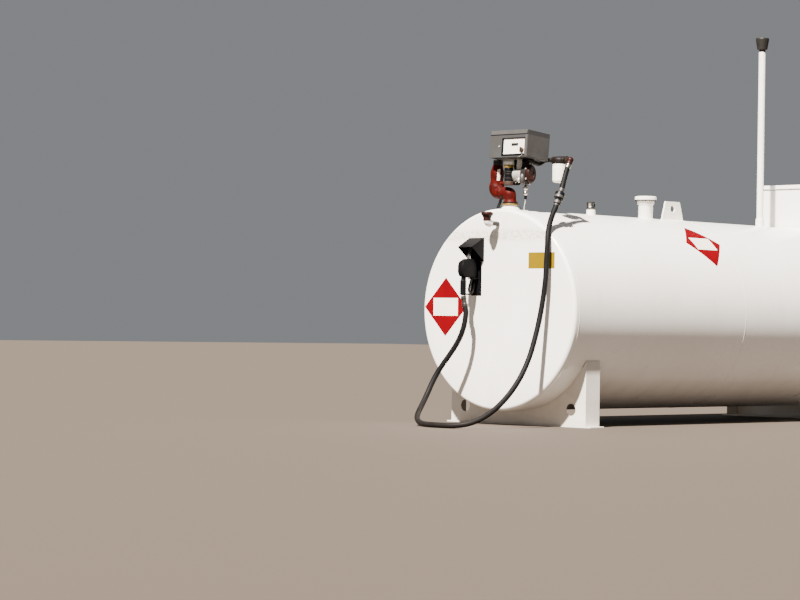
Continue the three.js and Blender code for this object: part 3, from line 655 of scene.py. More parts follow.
# Body and trigger are the CAD's own, eased. The spout and the guard are tubes along curves; the spout's dark
# steel is painted shade under the hood.
def addNozzle():
    x = nozzle["x"]
    easedNode("nozzle_body", "nozzle_cover", mouldedVinyl, 3.5, segments=3)
    tipY = nozzle["tipY"]
    tip = smoothLine([(x, tipY, 1077.3), (x, tipY, 1092), (x, -71, 1130), (x, -58, 1162)], 4)
    # Dark steel on the spout: painted shade under the hood.
    addPiece("nozzle_spout_shaded_tube", swept(tip, 11, 28), darkSteel, replaces="nozzle_spout")
    bow = smoothLine([(x, y, z) for y, z in (
        (-37, 954.7), (-37, 935), (-37, 900), (-41, 870), (-54, 851), (-80, 847), (-110.5, 847),
    )], 4)
    points, faces = swept(bow, 5, 24)
    points[:, 0] = x + (points[:, 0] - x) * nozzle["guardStretch"]
    addPiece("nozzle_hand_guard", (points, faces), mouldedVinyl, replaces="nozzle_guard")
    easedNode("nozzle_lever", "nozzle_trigger", blackEnamel, 0.6, body="lever")


addNozzle()


# Shell and heads

shell = {"radius": 655, "length": 3660, "axis": 749, "plate": 6, "knuckle": 25, "rim": 50, "seam": 1830,
         "sides": 192, "weldHalf": 5, "weldRise": 1.1}


# Points of an arc in a profile, angles in degrees from the radius direction.
def arcProfile(centre, radius, start, end, steps):
    angle = np.radians(np.linspace(start, end, steps + 1))
    return np.stack([centre[0] + radius * np.cos(angle), centre[1] + radius * np.sin(angle)], axis=1)


# Half of a flanged head: flat, round the knuckle to the rim, and back along the inside.
def headProfile():
    r, k, t, d = shell["radius"], shell["knuckle"], shell["plate"], shell["rim"]
    flat = [(ring, 0) for ring in np.linspace(0, r - k, 7)[:-1]]
    outer = [*flat, *arcProfile((r - k, k), k, -90, 0, 8), (r, d), (r - t, d)]
    return np.array([*outer, *arcProfile((r - k, k), k - t, 0, -90, 6), (0, t)])


# Two rolled courses, two heads and three weld beads, all turned about the tank's axis. A bead's section is
# half a wave of the cosine.
def addShell():
    axis = (0, 0, shell["axis"])
    r, inner, rim, seam = shell["radius"], shell["radius"] - shell["plate"], shell["rim"], shell["seam"]
    length, gap = shell["length"], 0.15
    ends = (("front", rim + 2 * gap, seam - gap), ("rear", seam + gap, length - rim - 2 * gap))
    for end, low, high in ends:
        steps = np.linspace(low, high, 9)
        profile = [(r, y) for y in steps] + [(inner, y) for y in steps[::-1]]
        addPiece(f"{end}_shell_plate", turned(profile, axis, "y", shell["sides"], closed=True), whiteEnamel,
                 replaces=f"shell_{end}_course")
    front = headProfile()
    for end, profile in (("front", front), ("rear", front * (1, -1) + (0, length))):
        addTurned(f"{end}_head_plate", profile, axis, whiteEnamel, "y", shell["sides"],
                  replaces=f"{end}_head", smooth=50)
    half, rise = shell["weldHalf"], shell["weldRise"]
    for name, y in (("front_head_weld", rim), ("girth_weld", seam), ("rear_head_weld", length - rim)):
        bead = [(r - 1.5 + (rise + 1.5) * math.cos(math.pi * x / (2 * half)), y + x)
                for x in np.linspace(-half, half, 7)]
        addPiece(name, turned([(r - 3, y - half), *bead, (r - 3, y + half)], axis, "y", 256, closed=True),
                 whiteFittingEnamel)


addShell()


# The webs and feet get rounded edges, and the seats a better finish; all take the saddle enamel darkened as
# painted shade.
def addSaddles():
    for end in ("front", "rear"):
        easedNode(f"{end}_saddle_web", f"{end}_saddle_channel", shadeAndDustEnamel, 1.5)
        easedNode(f"{end}_saddle_foot", f"{end}_saddle_base", shadeAndDustEnamel, 1.0)
        refinish(f"{end}_saddle_seat", shadeAndDustEnamel)


addSaddles()
print("tank body and saddles made")


# Blank films on the head and the shell: bare colours where signs were

# A sheet point on the front head: across and up in millimetres, standing off the plate by the rise.
def onHead(across, up, rise):
    return np.stack([across, np.full_like(across, -rise), up], axis=-1)


# A sheet point on the shell: along the tank, and the arc from the top over to the +X side.
def onShell(along, arc, rise):
    angle = arc / shell["radius"]
    radius = shell["radius"] + rise
    return np.stack([radius * np.sin(angle), along, shell["axis"] + radius * np.cos(angle)], axis=-1)


# A film 0.2 mm thick, stretched between four corners and laid on the plate by the lay function.
def addFilm(name, corners, lay, rise, material, steps=14):
    s, t = np.meshgrid(np.linspace(0, 1, steps), np.linspace(0, 1, steps), indexing="ij")
    weights = np.stack([(1 - s) * (1 - t), s * (1 - t), s * t, (1 - s) * t], axis=-1)
    across, up = np.moveaxis(weights @ corners, -1, 0)
    addPiece(name, slab(lay(across, up, rise), lay(across, up, rise - 0.2)), material)


# Corners of a square stood on its point, from its middle and half widths.
def diamond(centre, half):
    return np.asarray(centre) + np.array([(-1, 0), (0, -1), (1, 0), (0, 1)]) * half


# Corners of a rectangle, from its middle and half widths.
def rectangle(centre, half):
    return np.asarray(centre) + np.array([(-1, -1), (1, -1), (1, 1), (-1, 1)]) * half


films = {
    "plateCentre": (371.5, 1066), "plateHalf": (109.5, 52), "panelHalf": (108.5, 58),
    "headCentre": (-451, 765), "headHalf": (186, 194), "sideCentre": (1605, 494), "sideHalf": (191, 200),
}


# A yellow film on the head, and a red diamond with a pale panel on it, once on the head and once on the side.
def addFilms():
    plate = rectangle(films["plateCentre"], films["plateHalf"])
    addFilm("head_plate_film", plate, onHead, 0.5, yellowFilm, 4)
    for where, lay in (("head", onHead), ("side", onShell)):
        centre = films[f"{where}Centre"]
        addFilm(f"{where}_diamond_film", diamond(centre, films[f"{where}Half"]), lay, 0.5, redFilm)
        addFilm(f"{where}_panel_film", rectangle(centre, films["panelHalf"]), lay, 0.9, paleFilm, 8)


addFilms()
print("films laid")


# Fillet welds and other small work shared by the fittings

# Height of the shell's outside above the floor, from Pythagoras across its section.
def shellTop(across):
    return shell["axis"] + np.sqrt(shell["radius"] ** 2 - np.asarray(across, float) ** 2)


# A round fitting's foot on the shell: a circle seen from above, lifted on to the plate.
def footRing(radius, y, steps=72):
    angle = np.linspace(0, 2 * math.pi, steps, endpoint=False)
    across = radius * np.cos(angle)
    return np.stack([across, y + radius * np.sin(angle), shellTop(across)], axis=1)


# A rectangle seen from above with points every few millimetres, lifted on to the plate.
def footRectangle(half, y, spacing=9):
    corners = np.array([(-half[0], -half[1]), (half[0], -half[1]), (half[0], half[1]), (-half[0], half[1])])
    sides = []
    for start, end in zip(corners, np.roll(corners, -1, axis=0)):
        count = max(2, int(np.linalg.norm(end - start) / spacing))
        sides.append(start + (end - start) * np.linspace(0, 1, count, endpoint=False)[:, None])
    flat = np.vstack(sides)
    return np.stack([flat[:, 0], y + flat[:, 1], shellTop(flat[:, 0])], axis=1)


# A weld bead: a thin tube whose radius swells and shrinks with the length, as the welder's hand moved.
def weldBead(name, line, radius=4):
    steps = np.linalg.norm(np.diff(line, axis=0, prepend=line[-1:]), axis=1).cumsum()
    ripple = 1 + 0.14 * np.sin(2 * math.pi * steps / 19)
    return addPiece(name, swept(line, radius * ripple, 10, closed=True), whiteFittingEnamel, smooth=80)


# Boot and capped elbow on the front head

boot = {"screws": (35, 862, 1040), "grip": (840, 950), "gripPitch": 11, "hoodStretch": 1.09}


# Hood, back plate and screws of the boot, with the nozzle's ribbed sleeve and spout collar that stand in it.
# The collar's bright nickel is painted light on the spout's lit lower end.
# A rib is a small trapezium in the sleeve's profile.
def addBoot():
    x, (low, high), pitch = nozzle["x"], boot["grip"], boot["gripPitch"]
    hood = easedNode("boot_hood", "boot_hood_cover", mouldedVinyl, 1.0)
    front = Matrix.Translation((0, tankFront, 0))
    hood.data.transform(front @ Matrix.Scale(boot["hoodStretch"], 4, (0, 1, 0)) @ front.inverted())
    easedNode("boot_plate", "boot_back_plate", mouldedVinyl, 1.0)
    half, *heights = boot["screws"]
    centres = [(x + side * half, -3.3, z) for side in (-1, 1) for z in heights]
    hexHeads("boot_plate_screws", centres, (0, -1, 0), 9, 4, darkSteel)
    ribs = [(r, z + share * pitch) for z in np.arange(low + pitch, high - pitch, pitch)
            for r, share in ((19, -0.32), (20.5, -0.2), (20.5, 0.2), (19, 0.32))]
    addTurned("nozzle_grip_sleeve", [(11, low), *ribs, (11, high)], (x, nozzle["gripY"], 0), mouldedVinyl,
              sides=40, soften=0.4)
    # A bright nickel band: painted light on the spout's lit lower end.
    addPiece("nozzle_spout_lit_collar", drum(13, 1077.5, 1098, (x, nozzle["tipY"], 0), soften=1.5, sides=40),
             nickelPlate, merge=True)


headFitting = {"z": 1306, "y": -110, "pipe": 15, "elbow": 22.5, "collar": 24.5, "top": 1334}


# A nipple welded to the head, an elbow that turns up from it, and a round cap.
def addHeadFitting():
    z, y, outer, top = [headFitting[key] for key in ("z", "y", "collar", "top")]
    pipe = [(0, -80), (headFitting["pipe"], -80), (headFitting["pipe"], -0.3), (0, -0.3)]
    addTurned("head_nipple_pipe", pipe, (0, 0, z), darkSteel, "y", 40, replaces="head_nipple")
    angle = np.linspace(0, 2 * math.pi, 48, endpoint=False)
    foot = np.stack([16 * np.cos(angle), np.full(48, -0.5), z + 16 * np.sin(angle)], axis=1)
    weldBead("head_nipple_weld", foot, 3)
    bend = smoothLine([(0, -80.3, z), (0, -92, z), (0, -105, z + 4), (0, y, z + 14), (0, y, top)], 3)
    ends = [collar(19, outer, -91, -80.3, (0, 0, z), "y", 48, 1.5),
            collar(19, outer, top - 11, top, (0, y, 0), "z", 48, 1.5)]
    addPiece("head_elbow_fitting", together(swept(bend, headFitting["elbow"], 40), *ends), whiteFittingEnamel,
             replaces="head_elbow")
    cap = [(0, 1321), (26, 1321), (25.5, 1336), (27, 1345), (31, 1352), (36, 1357), (39.5, 1361), (40, 1368),
           (38, 1374), (30, 1378), (12, 1379.6), (0, 1380)]
    addTurned("head_elbow_plug", cap, (0, y, 0), maroonEnamel, sides=56, soften=2.5,
              replaces="head_elbow_cap")


addBoot()
addHeadFitting()


# Pump: riser, flange, casting and motor

pump = {
    "y": 115, "flange": (1430.3, 1440), "armZ": 1573, "ballZ": 1514, "voxel": 3,
    "motor": (10, 85, 0), "motorFoot": 1586.3, "motorTop": 1713, "canRadius": 29,
    "finRadius": 31, "fins": (1594, 1664, 11), "bands": (1604.5, 1632.5, 1646.5),
    "line": [(0, 1441), (0, 1452), (0, 1466), (0, 1486), (-8, 1503), (-34, 1512), (-70, 1514), (-98, 1517),
             (-116, 1532), (-122, 1556), (-120, 1580), (-118, 1598), (-117, 1622), (-116, 1650), (-114, 1676),
             (-111, 1698), (-110, 1712)],
    "radii": [47, 44, 38, 38, 42, 40, 39, 44, 49, 49, 42, 41, 44, 44, 38, 32, 31],
}


# Parts of one casting grown together: voxels fill the joints, then smoothing rounds them.
def remeshed(piece, voxel, smoothing):
    skin = piece.modifiers.new("cast skin", "REMESH")
    skin.mode = "VOXEL"
    skin.voxel_size = voxel / 1000
    skin.use_smooth_shade = True
    ease = piece.modifiers.new("fillets", "SMOOTH")
    ease.factor = 0.5
    ease.iterations = smoothing
    return piece


# The column's middle line with its radius as a fourth coordinate, so that both are smoothed alike.
def castingLine():
    return smoothLine([(x, pump["y"], z, radius) for (x, z), radius in zip(pump["line"], pump["radii"])], 5)


# Column, arm, motor's seat, the split between elbow and ball, and the foot, grown into one casting.
def addPumpCasting():
    y, armZ, ballZ = pump["y"], pump["armZ"], pump["ballZ"]
    line = castingLine()
    parts = [
        swept(line[:, :3], line[:, 3], 32), swept([(x, y, armZ) for x in (-122, -60, 0, 40)], 13, 20),
        drum(31, 1561, 1586, pump["motor"]), drum(45, -84, -64, (0, y, ballZ), "x", 3),
        drum(48, 1440.3, 1449, (0, y, 0)),
    ]
    remeshed(addPiece("pump_casting_body", together(*parts), redEnamel, replaces="pump_casting", merge=True),
             pump["voxel"], 6)
    hexHeads("pump_joint_screws", boltCircle((-64, y, ballZ), 37, 4, 45), (1, 0, 0), 10, 7, darkSteel)


# A blank strip on the column: part of a tube of the column's own radius, a little proud of it.
def addColumnStrip():
    line = castingLine()
    upper = line[(line[:, 2] > 1590) & (line[:, 2] < 1670) & (line[:, 0] < -100)]
    angle = np.radians(np.linspace(-49, -24, 9))
    around = np.stack([np.cos(angle), np.sin(angle), np.zeros(9)], axis=1)
    outer, inner = [upper[:, None, :3] + (upper[:, 3] + rise)[:, None, None] * around for rise in (0.9, 0.3)]
    addPiece("pump_column_strip", slab(outer, inner), paleFilm)


# Riser, casting, the drums stacked on both, the finned motor, the meter's bracket and two short lines.
def addPump():
    y, motor, armZ, can = pump["y"], pump["motor"], pump["armZ"], pump["canRadius"]
    riser = [(0, 1390), (63, 1390), (62, 1404), (56, 1412), (47, 1422), (45, 1430), (0, 1430)]
    addTurned("pump_riser_boss", riser, (0, y, 0), whiteFittingEnamel, soften=3, replaces="pump_riser")
    weldBead("pump_riser_weld", footRing(62, y))
    addPumpCasting()
    addColumnStrip()
    for name, radius, low, high, centre, soften, material, node in (
        ("pump_flange_ring", 55, *pump["flange"], (0, y, 0), 0.8, zincPlate, "pump_flange"),
        ("pump_base_ring", 49.5, 1440.2, 1451, (0, y, 0), 1.5, brownIron, ()),
        # A dark band round the column's top: painted shade under the register.
        ("pump_neck_shade_band", 33, 1694, 1727.5, (-110, y, 0), 1.5, darkSteel, ()),
        ("pump_motor_foot", 32.5, 1559.5, 1585.5, motor, 3, taupePrimer, ()),
        ("pump_motor_cap", 32, 1672.3, 1693, motor, 2, zincPlate, ()),
        ("pump_motor_top", 32, 1693.2, pump["motorTop"], motor, 2, whiteFittingEnamel, ()),
    ):
        addPiece(name, drum(radius, low, high, centre, soften=soften), material, replaces=node, merge=True)
    addPiece("pump_motor_can", drum(can, pump["motorFoot"], 1672, motor, soften=0.8, sides=56), blackEnamel,
             replaces="pump_motor", merge=True)
    r = pump["finRadius"]
    fins = [turned([(can - 1, z - 1.7), (r, z - 1.4), (r, z + 1.4), (can - 1, z + 1.7)], motor, "z", 56, 0.3,
                   closed=True) for z in np.linspace(*pump["fins"])]
    addPiece("pump_motor_fins", together(*fins), blackEnamel)
    bands = [collar(can - 1, r + 0.6, z - 3, z + 3, motor) for z in pump["bands"]]
    addPiece("pump_motor_bands", together(*bands), darkSteel)
    bracket = together(swept([(x, y, armZ) for x in (40, 58, 72)], 13.5, 20),
                       box((46, y - 13, armZ), (72, y + 13, armZ + 15)))
    bevelled(addPiece("meter_bracket", bracket, brownIron), 1.5)
    hexHeads("meter_bracket_bolt", [(57, y - 13, armZ + 9)], (0, -1, 0), 17, 8, nickelPlate)
    lines = [swept(smoothLine([(x, y, z) for x, z in route], 4), radius, sides) for radius, sides, route in (
        (9.5, 20, ((-80, 1492), (-82, 1472), (-90, 1450), (-103, 1424), (-118, 1386))),
        (3, 12, ((46, 1446), (60, 1444), (78, 1426), (92, 1404), (98, 1385))),
    )]
    addPiece("pump_conduit", together(*lines), blackEnamel)


# Meter on the pump's arm: drum, flange, end cover and the drain below it

meter = {"y": 110, "z": 1626, "oval": 0.69, "flange": (118, 154.7), "rim": (155, 166), "drain": 134,
         "voxel": 2.5}


# A turned shape along x with closed poles, squeezed from front to back.
def oval(profile, height, soften=2.0):
    points, faces = turned(profile, (0, 0, 0), "x", 64, soften)
    return points * (1, meter["oval"], 1) + (0, meter["y"], height), faces


# Casting, flange, rim and bolted end cover from the middle outwards, the blocks above, and the drain below.
def addMeter():
    y, z, x = meter["y"], meter["z"], meter["drain"]
    addPiece("meter_boss", ball((138, 74, 1597), (21, 24, 38)), weatheredAluminium, smooth=80)
    barrel = turned([(0, 45), (36, 45), (40, 49), (40, 119), (0, 119)], (0, y, z), "x", 64, 2)
    lump, disc = ball((108, 76, 1590), (12, 16, 18)), oval([(0, 117), (52, 117), (52, 124), (0, 124)], z)
    body = addPiece("meter_casting", together(barrel, lump, disc), bareAluminium, replaces="meter_body",
                    merge=True)
    remeshed(body, meter["voxel"], 5)
    low, high = meter["flange"]
    flange = [(0, low), (60, low), (64, low + 5), (64, high), (0, high)]
    addPiece("meter_flange", oval(flange, z + 3), darkSteel, merge=True)
    low, high = meter["rim"]
    rim = [(0, low), (70, low), (70, high - 2), (66, high), (0, high)]
    addPiece("meter_cover_rim", oval(rim, z + 4), darkSteel, merge=True)
    dome = [(0, high), (61, high), (62, high + 5), (57, 186), (50, 192), (26, 192), (24, 188), (0, 188)]
    addPiece("meter_end_cover", oval(dome, z + 4, 2.5), maroonEnamel, replaces="meter_cover", merge=True)
    bolts = boltCircle((high - 0.5, y, z + 4), 65, 6, 30, meter["oval"])
    hexHeads("meter_cover_bolts", bolts, (1, 0, 0), 9, 6, bareAluminium)
    for name, boxes, material, width in (
        ("meter_outlet_block", [((121, 84, 1670), (154.7, 140, 1724)), ((121, 84, 1703), (178, 140, 1724))],
         brownIron, 2.5),
        ("register_bracket", [((45, 92, 1664), (60, 107, 1726))], blackEnamel, 2),
        ("meter_neck", [((62, 98, 1658), (120.5, 128, 1702)), ((78, 92, 1701), (120.5, 132, 1727))],
         bareAluminium, 3),
    ):
        bevelled(addPiece(name, together(*[box(*corners) for corners in boxes]), material), width)
    drain = [(0, 1490), (7, 1490), (9, 1495), (15, 1500), (16, 1508), (13, 1516), (9, 1521), (10, 1526),
             (17, 1533), (18, 1543), (15, 1551), (10, 1556), (10, 1568), (0, 1568)]
    addTurned("meter_drain", drain, (x, y, 0), nickelPlate, sides=40, soften=2)
    addPiece("meter_drain_plug", drum(9, 1468, 1490.5, (x, y, 0), soften=1.5, sides=24), blackEnamel,
             merge=True)
    foot = (x - 14, y + 4, float(shellTop(x - 14)) - 1)
    tail = smoothLine([(x, y, 1470), (x - 1, y, 1455), (x - 9, y + 2, 1430), foot], 3)
    addPiece("meter_drain_tube", swept(tail, 3, 16), bareAluminium)


addPump()
addMeter()
print("pump and meter made")


# Register: the tilted housing, its lid, window, face, number wheels and knob

# Places are measured across and up from the housing's middle. The frame's inset is at its left, foot, head
# and right, and a figure's size and boldness are metres, as its text is.
register = {
    "centre": (58.5, 131.5, 1814.9), "tilt": -5.2, "half": (158.5, 110, 88.5), "faceDepth": 2.7, "seam": 62.5,
    "window": (43.5, -20.5), "windowHalf": (97, 56), "frameInset": (12, 9, 4, 3), "knob": (118, -44.5),
    "lock": (-78, -16), "figures": "0047", "wheels": (30.5, -6.5), "wheelPitch": 14.5, "wheelHalf": (7, 9.5),
    "figureSize": 0.02, "figureBold": 0.0016,
}
registerFront = -register["half"][1]
faceFront = registerFront + register["faceDepth"]


# A shape measured from the middle of the housing, tilted back with it.
def inRegister(shape):
    turn = np.array(Matrix.Rotation(math.radians(register["tilt"]), 3, "X"))
    return shape[0] @ turn.T + register["centre"], shape[1]


# Housing and lid are the CAD's own, eased. The window frame, seam strip, door fold and side plates are thin
# boxes: the black seam strip is painted shade, the paler door fold a painted highlight and the paler side
# plates painted light.
def addRegister():
    easedNode("register_housing", "register_case", greyEnamel, 1.6)
    easedNode("register_lid", "register_case_lid", chalkedEnamelAndPaintedLight, 1.2)
    refinish("register_face", faceEnamel)
    (wx, wz), (halfX, halfZ) = register["window"], register["windowHalf"]
    left, foot, head, right = register["frameInset"]
    x0, x1, z0, z1 = wx - halfX, wx + halfX, wz - halfZ, wz + halfZ
    out, back, lip = registerFront - 2.5, registerFront + 2, 2.5
    wide, deep, high = register["half"]
    seam = register["seam"]
    for name, boxes, material, width in (
        ("register_window_frame", [
            ((x0 - lip, out, z1 - head), (x1 + lip, back, z1 + lip)),
            ((x0 - lip, out, z0 - lip), (x1 + lip, back, z0 + foot)),
            ((x0 - lip, out, z0 + foot), (x0 + left, back, z1 - head)),
            ((x1 - right, out, z0 + foot), (x1 + lip, back, z1 - head)),
        ], blackEnamel, 1.0),
        # A black strip under the lid's lip: painted shade of the seam's gap.
        ("register_lid_seam_shade", [
            ((1 - wide, registerFront - 1, seam - 5), (wide - 1, registerFront + 4, seam - 0.5)),
        ], blackEnamel, 0),
        # A paler strip down the front's right edge: a painted highlight on the corner.
        ("register_door_fold_highlight", [
            ((wide - 17, registerFront - 2, 8 - high), (wide - 3, registerFront + 3, seam - 6)),
        ], chalkedEnamelAndPaintedLight, 0.8),
        # Paler side plates: painted light that lifts the housing's shaded sides.
        ("register_side_plates_painted_light", [
            ((side * (wide - 1), 3 - deep, 3 - high), (side * (wide + 0.8), deep - 3, seam - 6))
            for side in (-1, 1)
        ], chalkedEnamelAndPaintedLight, 0.5),
    ):
        piece = addPiece(name, inRegister(together(*[box(*corners) for corners in boxes])), material)
        if width:
            bevelled(piece, width)
    (lockX, lockZ), (knobX, _) = register["lock"], register["knob"]
    lock = drum(5.5, registerFront - 4, registerFront + 1, (lockX, 0, lockZ), "y", 1.0, 32)
    addPiece("register_lock", inRegister(lock), bareAluminium, merge=True)
    wire = smoothLine([(knobX + 6, registerFront - 2.8, -70), (knobX + 4, registerFront - 4, -78),
                       (knobX - 12, registerFront - 1.5, -87), (knobX - 40, registerFront + 8, -90)], 3)
    addPiece("register_seal_wire", inRegister(swept(wire, 1.6, 10)), bareAluminium)


# Number wheels behind the window, one plain figure on each; a figure is a text turned into a mesh.
def addNumberWheels():
    (firstX, z), (halfX, halfZ) = register["wheels"], register["wheelHalf"]
    wheels, figures = [], []
    for number, figure in enumerate(register["figures"]):
        x = firstX + register["wheelPitch"] * number
        wheels.append(box((x - halfX, faceFront - 0.8, z - halfZ), (x + halfX, faceFront + 0.3, z + halfZ)))
        curve = bpy.data.curves.new("figure", "FONT")
        curve.body = figure
        curve.size = register["figureSize"]
        curve.offset = register["figureBold"]
        curve.align_x = "CENTER"
        curve.align_y = "CENTER"
        glyph = bpy.data.objects.new("figure", curve)
        bpy.context.scene.collection.objects.link(glyph)
        bpy.context.view_layer.update()
        mesh = bpy.data.meshes.new_from_object(glyph)
        flat = np.array([corner.co for corner in mesh.vertices]) * 1000
        points = np.stack([x + flat[:, 0], np.full(len(flat), faceFront - 1.1), z + flat[:, 1]], axis=1)
        figures.append((points, [list(polygon.vertices) for polygon in mesh.polygons]))
        bpy.data.objects.remove(glyph)
    bevelled(addPiece("register_number_wheels", inRegister(together(*wheels)), weatheredAluminium), 0.4)
    addPiece("register_figures", inRegister(together(*figures)), blackEnamel)


# A round disc with a bar across it, on the face.
def addKnob():
    x, z = register["knob"]
    profile = [(0, 0), (14, 0), (14, -9), (12, -12), (0, -12)]
    disc = turned(profile, (x, faceFront, z), "y", 40, 1)
    bar = box((x - 5, faceFront - 24, z - 16), (x + 5, faceFront - 10.3, z + 16))
    bevelled(addPiece("reset_knob_turned", inRegister(together(disc, bar)), taupePrimer, body="knob",
                      replaces="reset_knob", merge=True), 0.8)


addRegister()
addNumberWheels()
addKnob()
print("register made")


# Outlet: pipe, filter and swivel

outlet = {
    "route": [(140, 140.3, 1708), (140, 160, 1708), (140, 200, 1704), (140, 232, 1701), (143, 252, 1708),
              (152, 267, 1721), (175, 270, 1727), (224.7, 270, 1727)],
    "pipe": 13.4, "filter": (285, 270), "branch": 1727, "elbow": 1722, "voxel": 2.5,
}


# The bent pipe with its hexagon bushings, the filter's head and canister, and the hose's elbow.
def addOutlet():
    x, y = outlet["filter"]
    branch, elbowZ = outlet["branch"], outlet["elbow"]
    addPiece("outlet_bend", swept(smoothLine(outlet["route"], 5), outlet["pipe"], 28), brownIron,
             replaces="outlet_pipe")
    bushings = [drum(radius, low, high, centre, axis, 1.2, 6) for radius, low, high, centre, axis in (
        (20, 140.2, 154, (140, 0, 1708), "y"), (19, 212, 225, (0, y, branch), "x"),
        (22, 346, 356, (0, y, elbowZ), "x"),
    )]
    bevelled(addPiece("outlet_bushings", together(*bushings), darkSteel, merge=True), 0.8)
    dome = [(0, 1700), (50, 1700), (50, 1727), (47, 1735), (42, 1741), (30, 1747), (0, 1750)]
    bowl = turned(dome, (x, y, 0), soften=3)
    head = addPiece("filter_head_casting", together(bowl, drum(22, x - 60, x + 64, (0, y, branch), "x", 2)),
                    brownIron, replaces="filter_head", merge=True)
    remeshed(head, outlet["voxel"], 3)
    can = [(0, 1577), (28, 1577.5), (38, 1580), (44, 1586), (47, 1596), (47, 1604), (46, 1606), (46, 1608),
           (47, 1610), (47, 1682), (46, 1684), (46, 1687), (47, 1689), (47, 1694), (45, 1699.7), (0, 1699.7)]
    addTurned("filter_canister_can", can, (x, y, 0), creamEnamel, sides=72, soften=1,
              replaces="filter_canister")
    corner, end = hose["swivelCorner"], hose["start"]
    parts = [swept([(349.3, y, elbowZ), (360, y, elbowZ), corner], 20, 32),
             swept([corner, (np.array(corner) + end) / 2, end], 19, 32), ball(corner, 22)]
    elbow = addPiece("hose_swivel_elbow", together(*parts), maroonEnamel, replaces="hose_swivel", merge=True)
    remeshed(elbow, outlet["voxel"], 3)


addOutlet()


# Fittings along the top

topLine = {"gauge": 943, "emergency": 1540, "emergencyTop": 1524, "lug": 1840, "vent": 2890, "ventTop": 2677,
           "gaugeBars": (-142, -30, 38, 120)}


# A socket with a cage of bars on it, and the gauge's white tube inside.
def addLevelGauge():
    y = topLine["gauge"]
    socket = [(0, 1390), (30, 1390), (30, 1437.6), (20, 1437.6), (20, 1445), (0, 1445)]
    addTurned("level_gauge_socket", socket, (0, y, 0), whiteFittingEnamel, soften=1.2, replaces="level_gauge")
    weldBead("level_gauge_weld", footRing(30, y, 48), 3)
    bars = [drum(5.5, 1450, 1486, (22.5 * math.cos(angle), y + 23.5 * math.sin(angle), 0), "z", 0.3, 12)
            for angle in np.radians(topLine["gaugeBars"])]
    rod = drum(5, 1450, 1486, (10, y - 6, 0), soften=0.3, sides=16)
    top = [(0, 1481), (27, 1481), (28.5, 1483), (28.5, 1489), (24, 1492), (0, 1492.5)]
    cage = together(drum(28, 1445.2, 1453, (0, y, 0)), turned(top, (0, y, 0), "z", 56, 1), rod, *bars)
    addPiece("level_gauge_cage", cage, darkSteel, merge=True)
    addPiece("level_gauge_tube", drum(14, 1452, 1482, (0, y, 0)), faceEnamel, merge=True)


# An open stub with a collar, a guide across its bore, and a hood with its gasket that lifts off together.
def addEmergencyVent():
    y, top = topLine["emergency"], topLine["emergencyTop"]
    stub = [(45, 1380), (50, 1380), (50, 1499), (52, 1502), (57, 1503), (57, top - 1), (56, top), (51, top),
            (50, top - 1), (50, 1504), (45, 1500)]
    addTurned("emergency_vent_pipe", stub, (0, y, 0), whiteFittingEnamel, sides=72, closed=True,
              replaces="emergency_vent_stub")
    weldBead("emergency_vent_weld", footRing(50, y))
    for name, boxes in (
        ("emergency_vent_guide", [((-46, -10), (46, -8.6))]),
        ("emergency_vent_bars", [((-46, -10), (-8.6, 10)), ((8.6, -10), (46, 10)), ((-9, 8.6), (9, 10))]),
    ):
        bars = [box((x0, y + y0, 1456), (x1, y + y1, 1464)) for (x0, y0), (x1, y1) in boxes]
        bevelled(addPiece(name, together(*bars), whiteFittingEnamel), 0.3)
    gasket = [(58.2, top + 0.5), (71, top + 0.5), (73, top + 2), (73, top + 7.8), (58.2, top + 7.8)]
    addTurned("emergency_vent_gasket", gasket, (0, y, 0), hoseRubber, sides=72, soften=0.5, closed=True,
              body="vent_poppet")
    cap = [(0, 1411), (13, 1411), (13, 1417.5), (8, 1417.5), (8, top + 0.3), (58, top + 0.3), (58, top + 8),
           (74, top + 8), (75, top + 10), (75, 1550), (73, 1554), (68, 1557), (0, 1559)]
    addTurned("emergency_vent_hood", cap, (0, y, 0), whiteFittingEnamel, sides=72, soften=1,
              body="vent_poppet", replaces="emergency_vent_cap")


# A tall pipe on a swept foot, and the open cap on its top.
def addVentPipe():
    y, top = topLine["vent"], topLine["ventTop"]
    pipe = [(0, 1390), (31, 1390), (31, 1448), (29, 1457), (24.15, 1464), (24.15, top), (0, top)]
    addTurned("vent_stack", pipe, (0, y, 0), whiteFittingEnamel, sides=56, soften=3, replaces="vent_pipe")
    weldBead("vent_stack_weld", footRing(31, y, 48), 3)
    hat = [(0, top + 0.3), (23, top + 0.3), (23, 2692), (25, 2696), (36.5, 2696), (38, 2704), (48, 2764),
           (49, 2774), (46, 2779), (30, 2781.5), (0, 2782)]
    addTurned("vent_stack_cap", hat, (0, y, 0), darkSteel, soften=1, replaces="vent_cap")


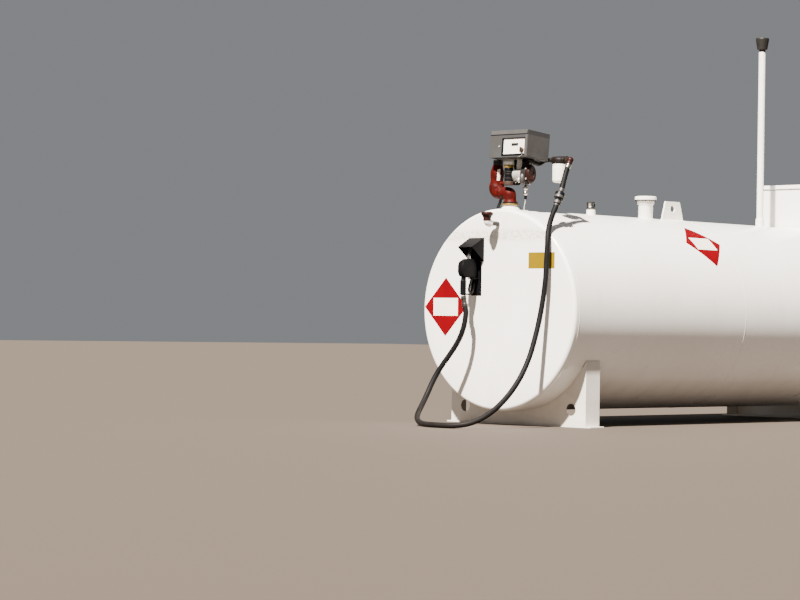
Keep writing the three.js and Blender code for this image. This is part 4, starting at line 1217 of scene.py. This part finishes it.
# The fittings from front to rear; the lifting lug is the CAD's own, eased.
def addTopFittings():
    addLevelGauge()
    addEmergencyVent()
    easedNode("lifting_lug", "lifting_eye_plate", whiteFittingEnamel, 1.5)
    weldBead("lifting_eye_weld", footRectangle((6, 124), topLine["lug"], 4))
    addVentPipe()


# Fill box on its skirt, with its lid and the capped pipe inside

fillBox = {"y": 3370, "half": 188.5, "floor": 1412, "sheet": 4, "shadowStripLow": 1681}


# The skirt is a band of plate round the box, from its floor down to the round of the shell.
def addFillSkirt():
    half, y, top = fillBox["half"], fillBox["y"], fillBox["floor"] + 2
    outer = footRectangle((half, half), y)
    inner = (outer - (0, y, 0)) * (1 - fillBox["sheet"] / half, 1 - fillBox["sheet"] / half, 1) + (0, y, 0)
    rings = [outer - (0, 0, 2), np.c_[outer[:, :2], np.full(len(outer), top)],
             np.c_[inner[:, :2], np.full(len(inner), top)], inner - (0, 0, 2)]
    addPiece("fill_box_skirt", (np.vstack(rings), gridFaces(4, len(outer), closeRows=True)), whiteEnamel)
    weldBead("fill_box_weld", outer)


# Box and lid are the CAD's own, eased. Four grey strips under the lid's skirt are a painted shadow of the
# skirt, and a capped pipe stands inside.
def addFillBox():
    easedNode("fill_box", "fill_box_body", whiteEnamel, 1.2)
    addFillSkirt()
    easedNode("fill_box_lid", "fill_box_cover", whiteEnamel, 1.5, body="lid")
    half, y, low = fillBox["half"] + 0.4, fillBox["y"], fillBox["shadowStripLow"]
    # Grey strips under the lid's skirt: a painted shadow of the skirt's overhang.
    strips = [box((x0, y + y0, low), (x1, y + y1, low + 7)) for (x0, y0), (x1, y1) in (
        ((-half, -half), (half, 3 - half)), ((-half, half - 3), (half, half)),
        ((-half, -half), (3 - half, half)), ((half - 3, -half), (half, half)),
    )]
    bevelled(addPiece("fill_box_lid_shadow_strip", together(*strips), bareAluminium), 0.5)
    cap = [(0, 1416.3), (57, 1416.3), (57, 1560), (63, 1562), (64, 1566), (64, 1584), (61, 1588), (30, 1591),
           (30, 1600), (0, 1600)]
    addTurned("fill_pipe_plug", cap, (0, y, 0), bareAluminium, soften=1.5, replaces="fill_pipe_cap")


addTopFittings()
addFillBox()
print("top fittings made")
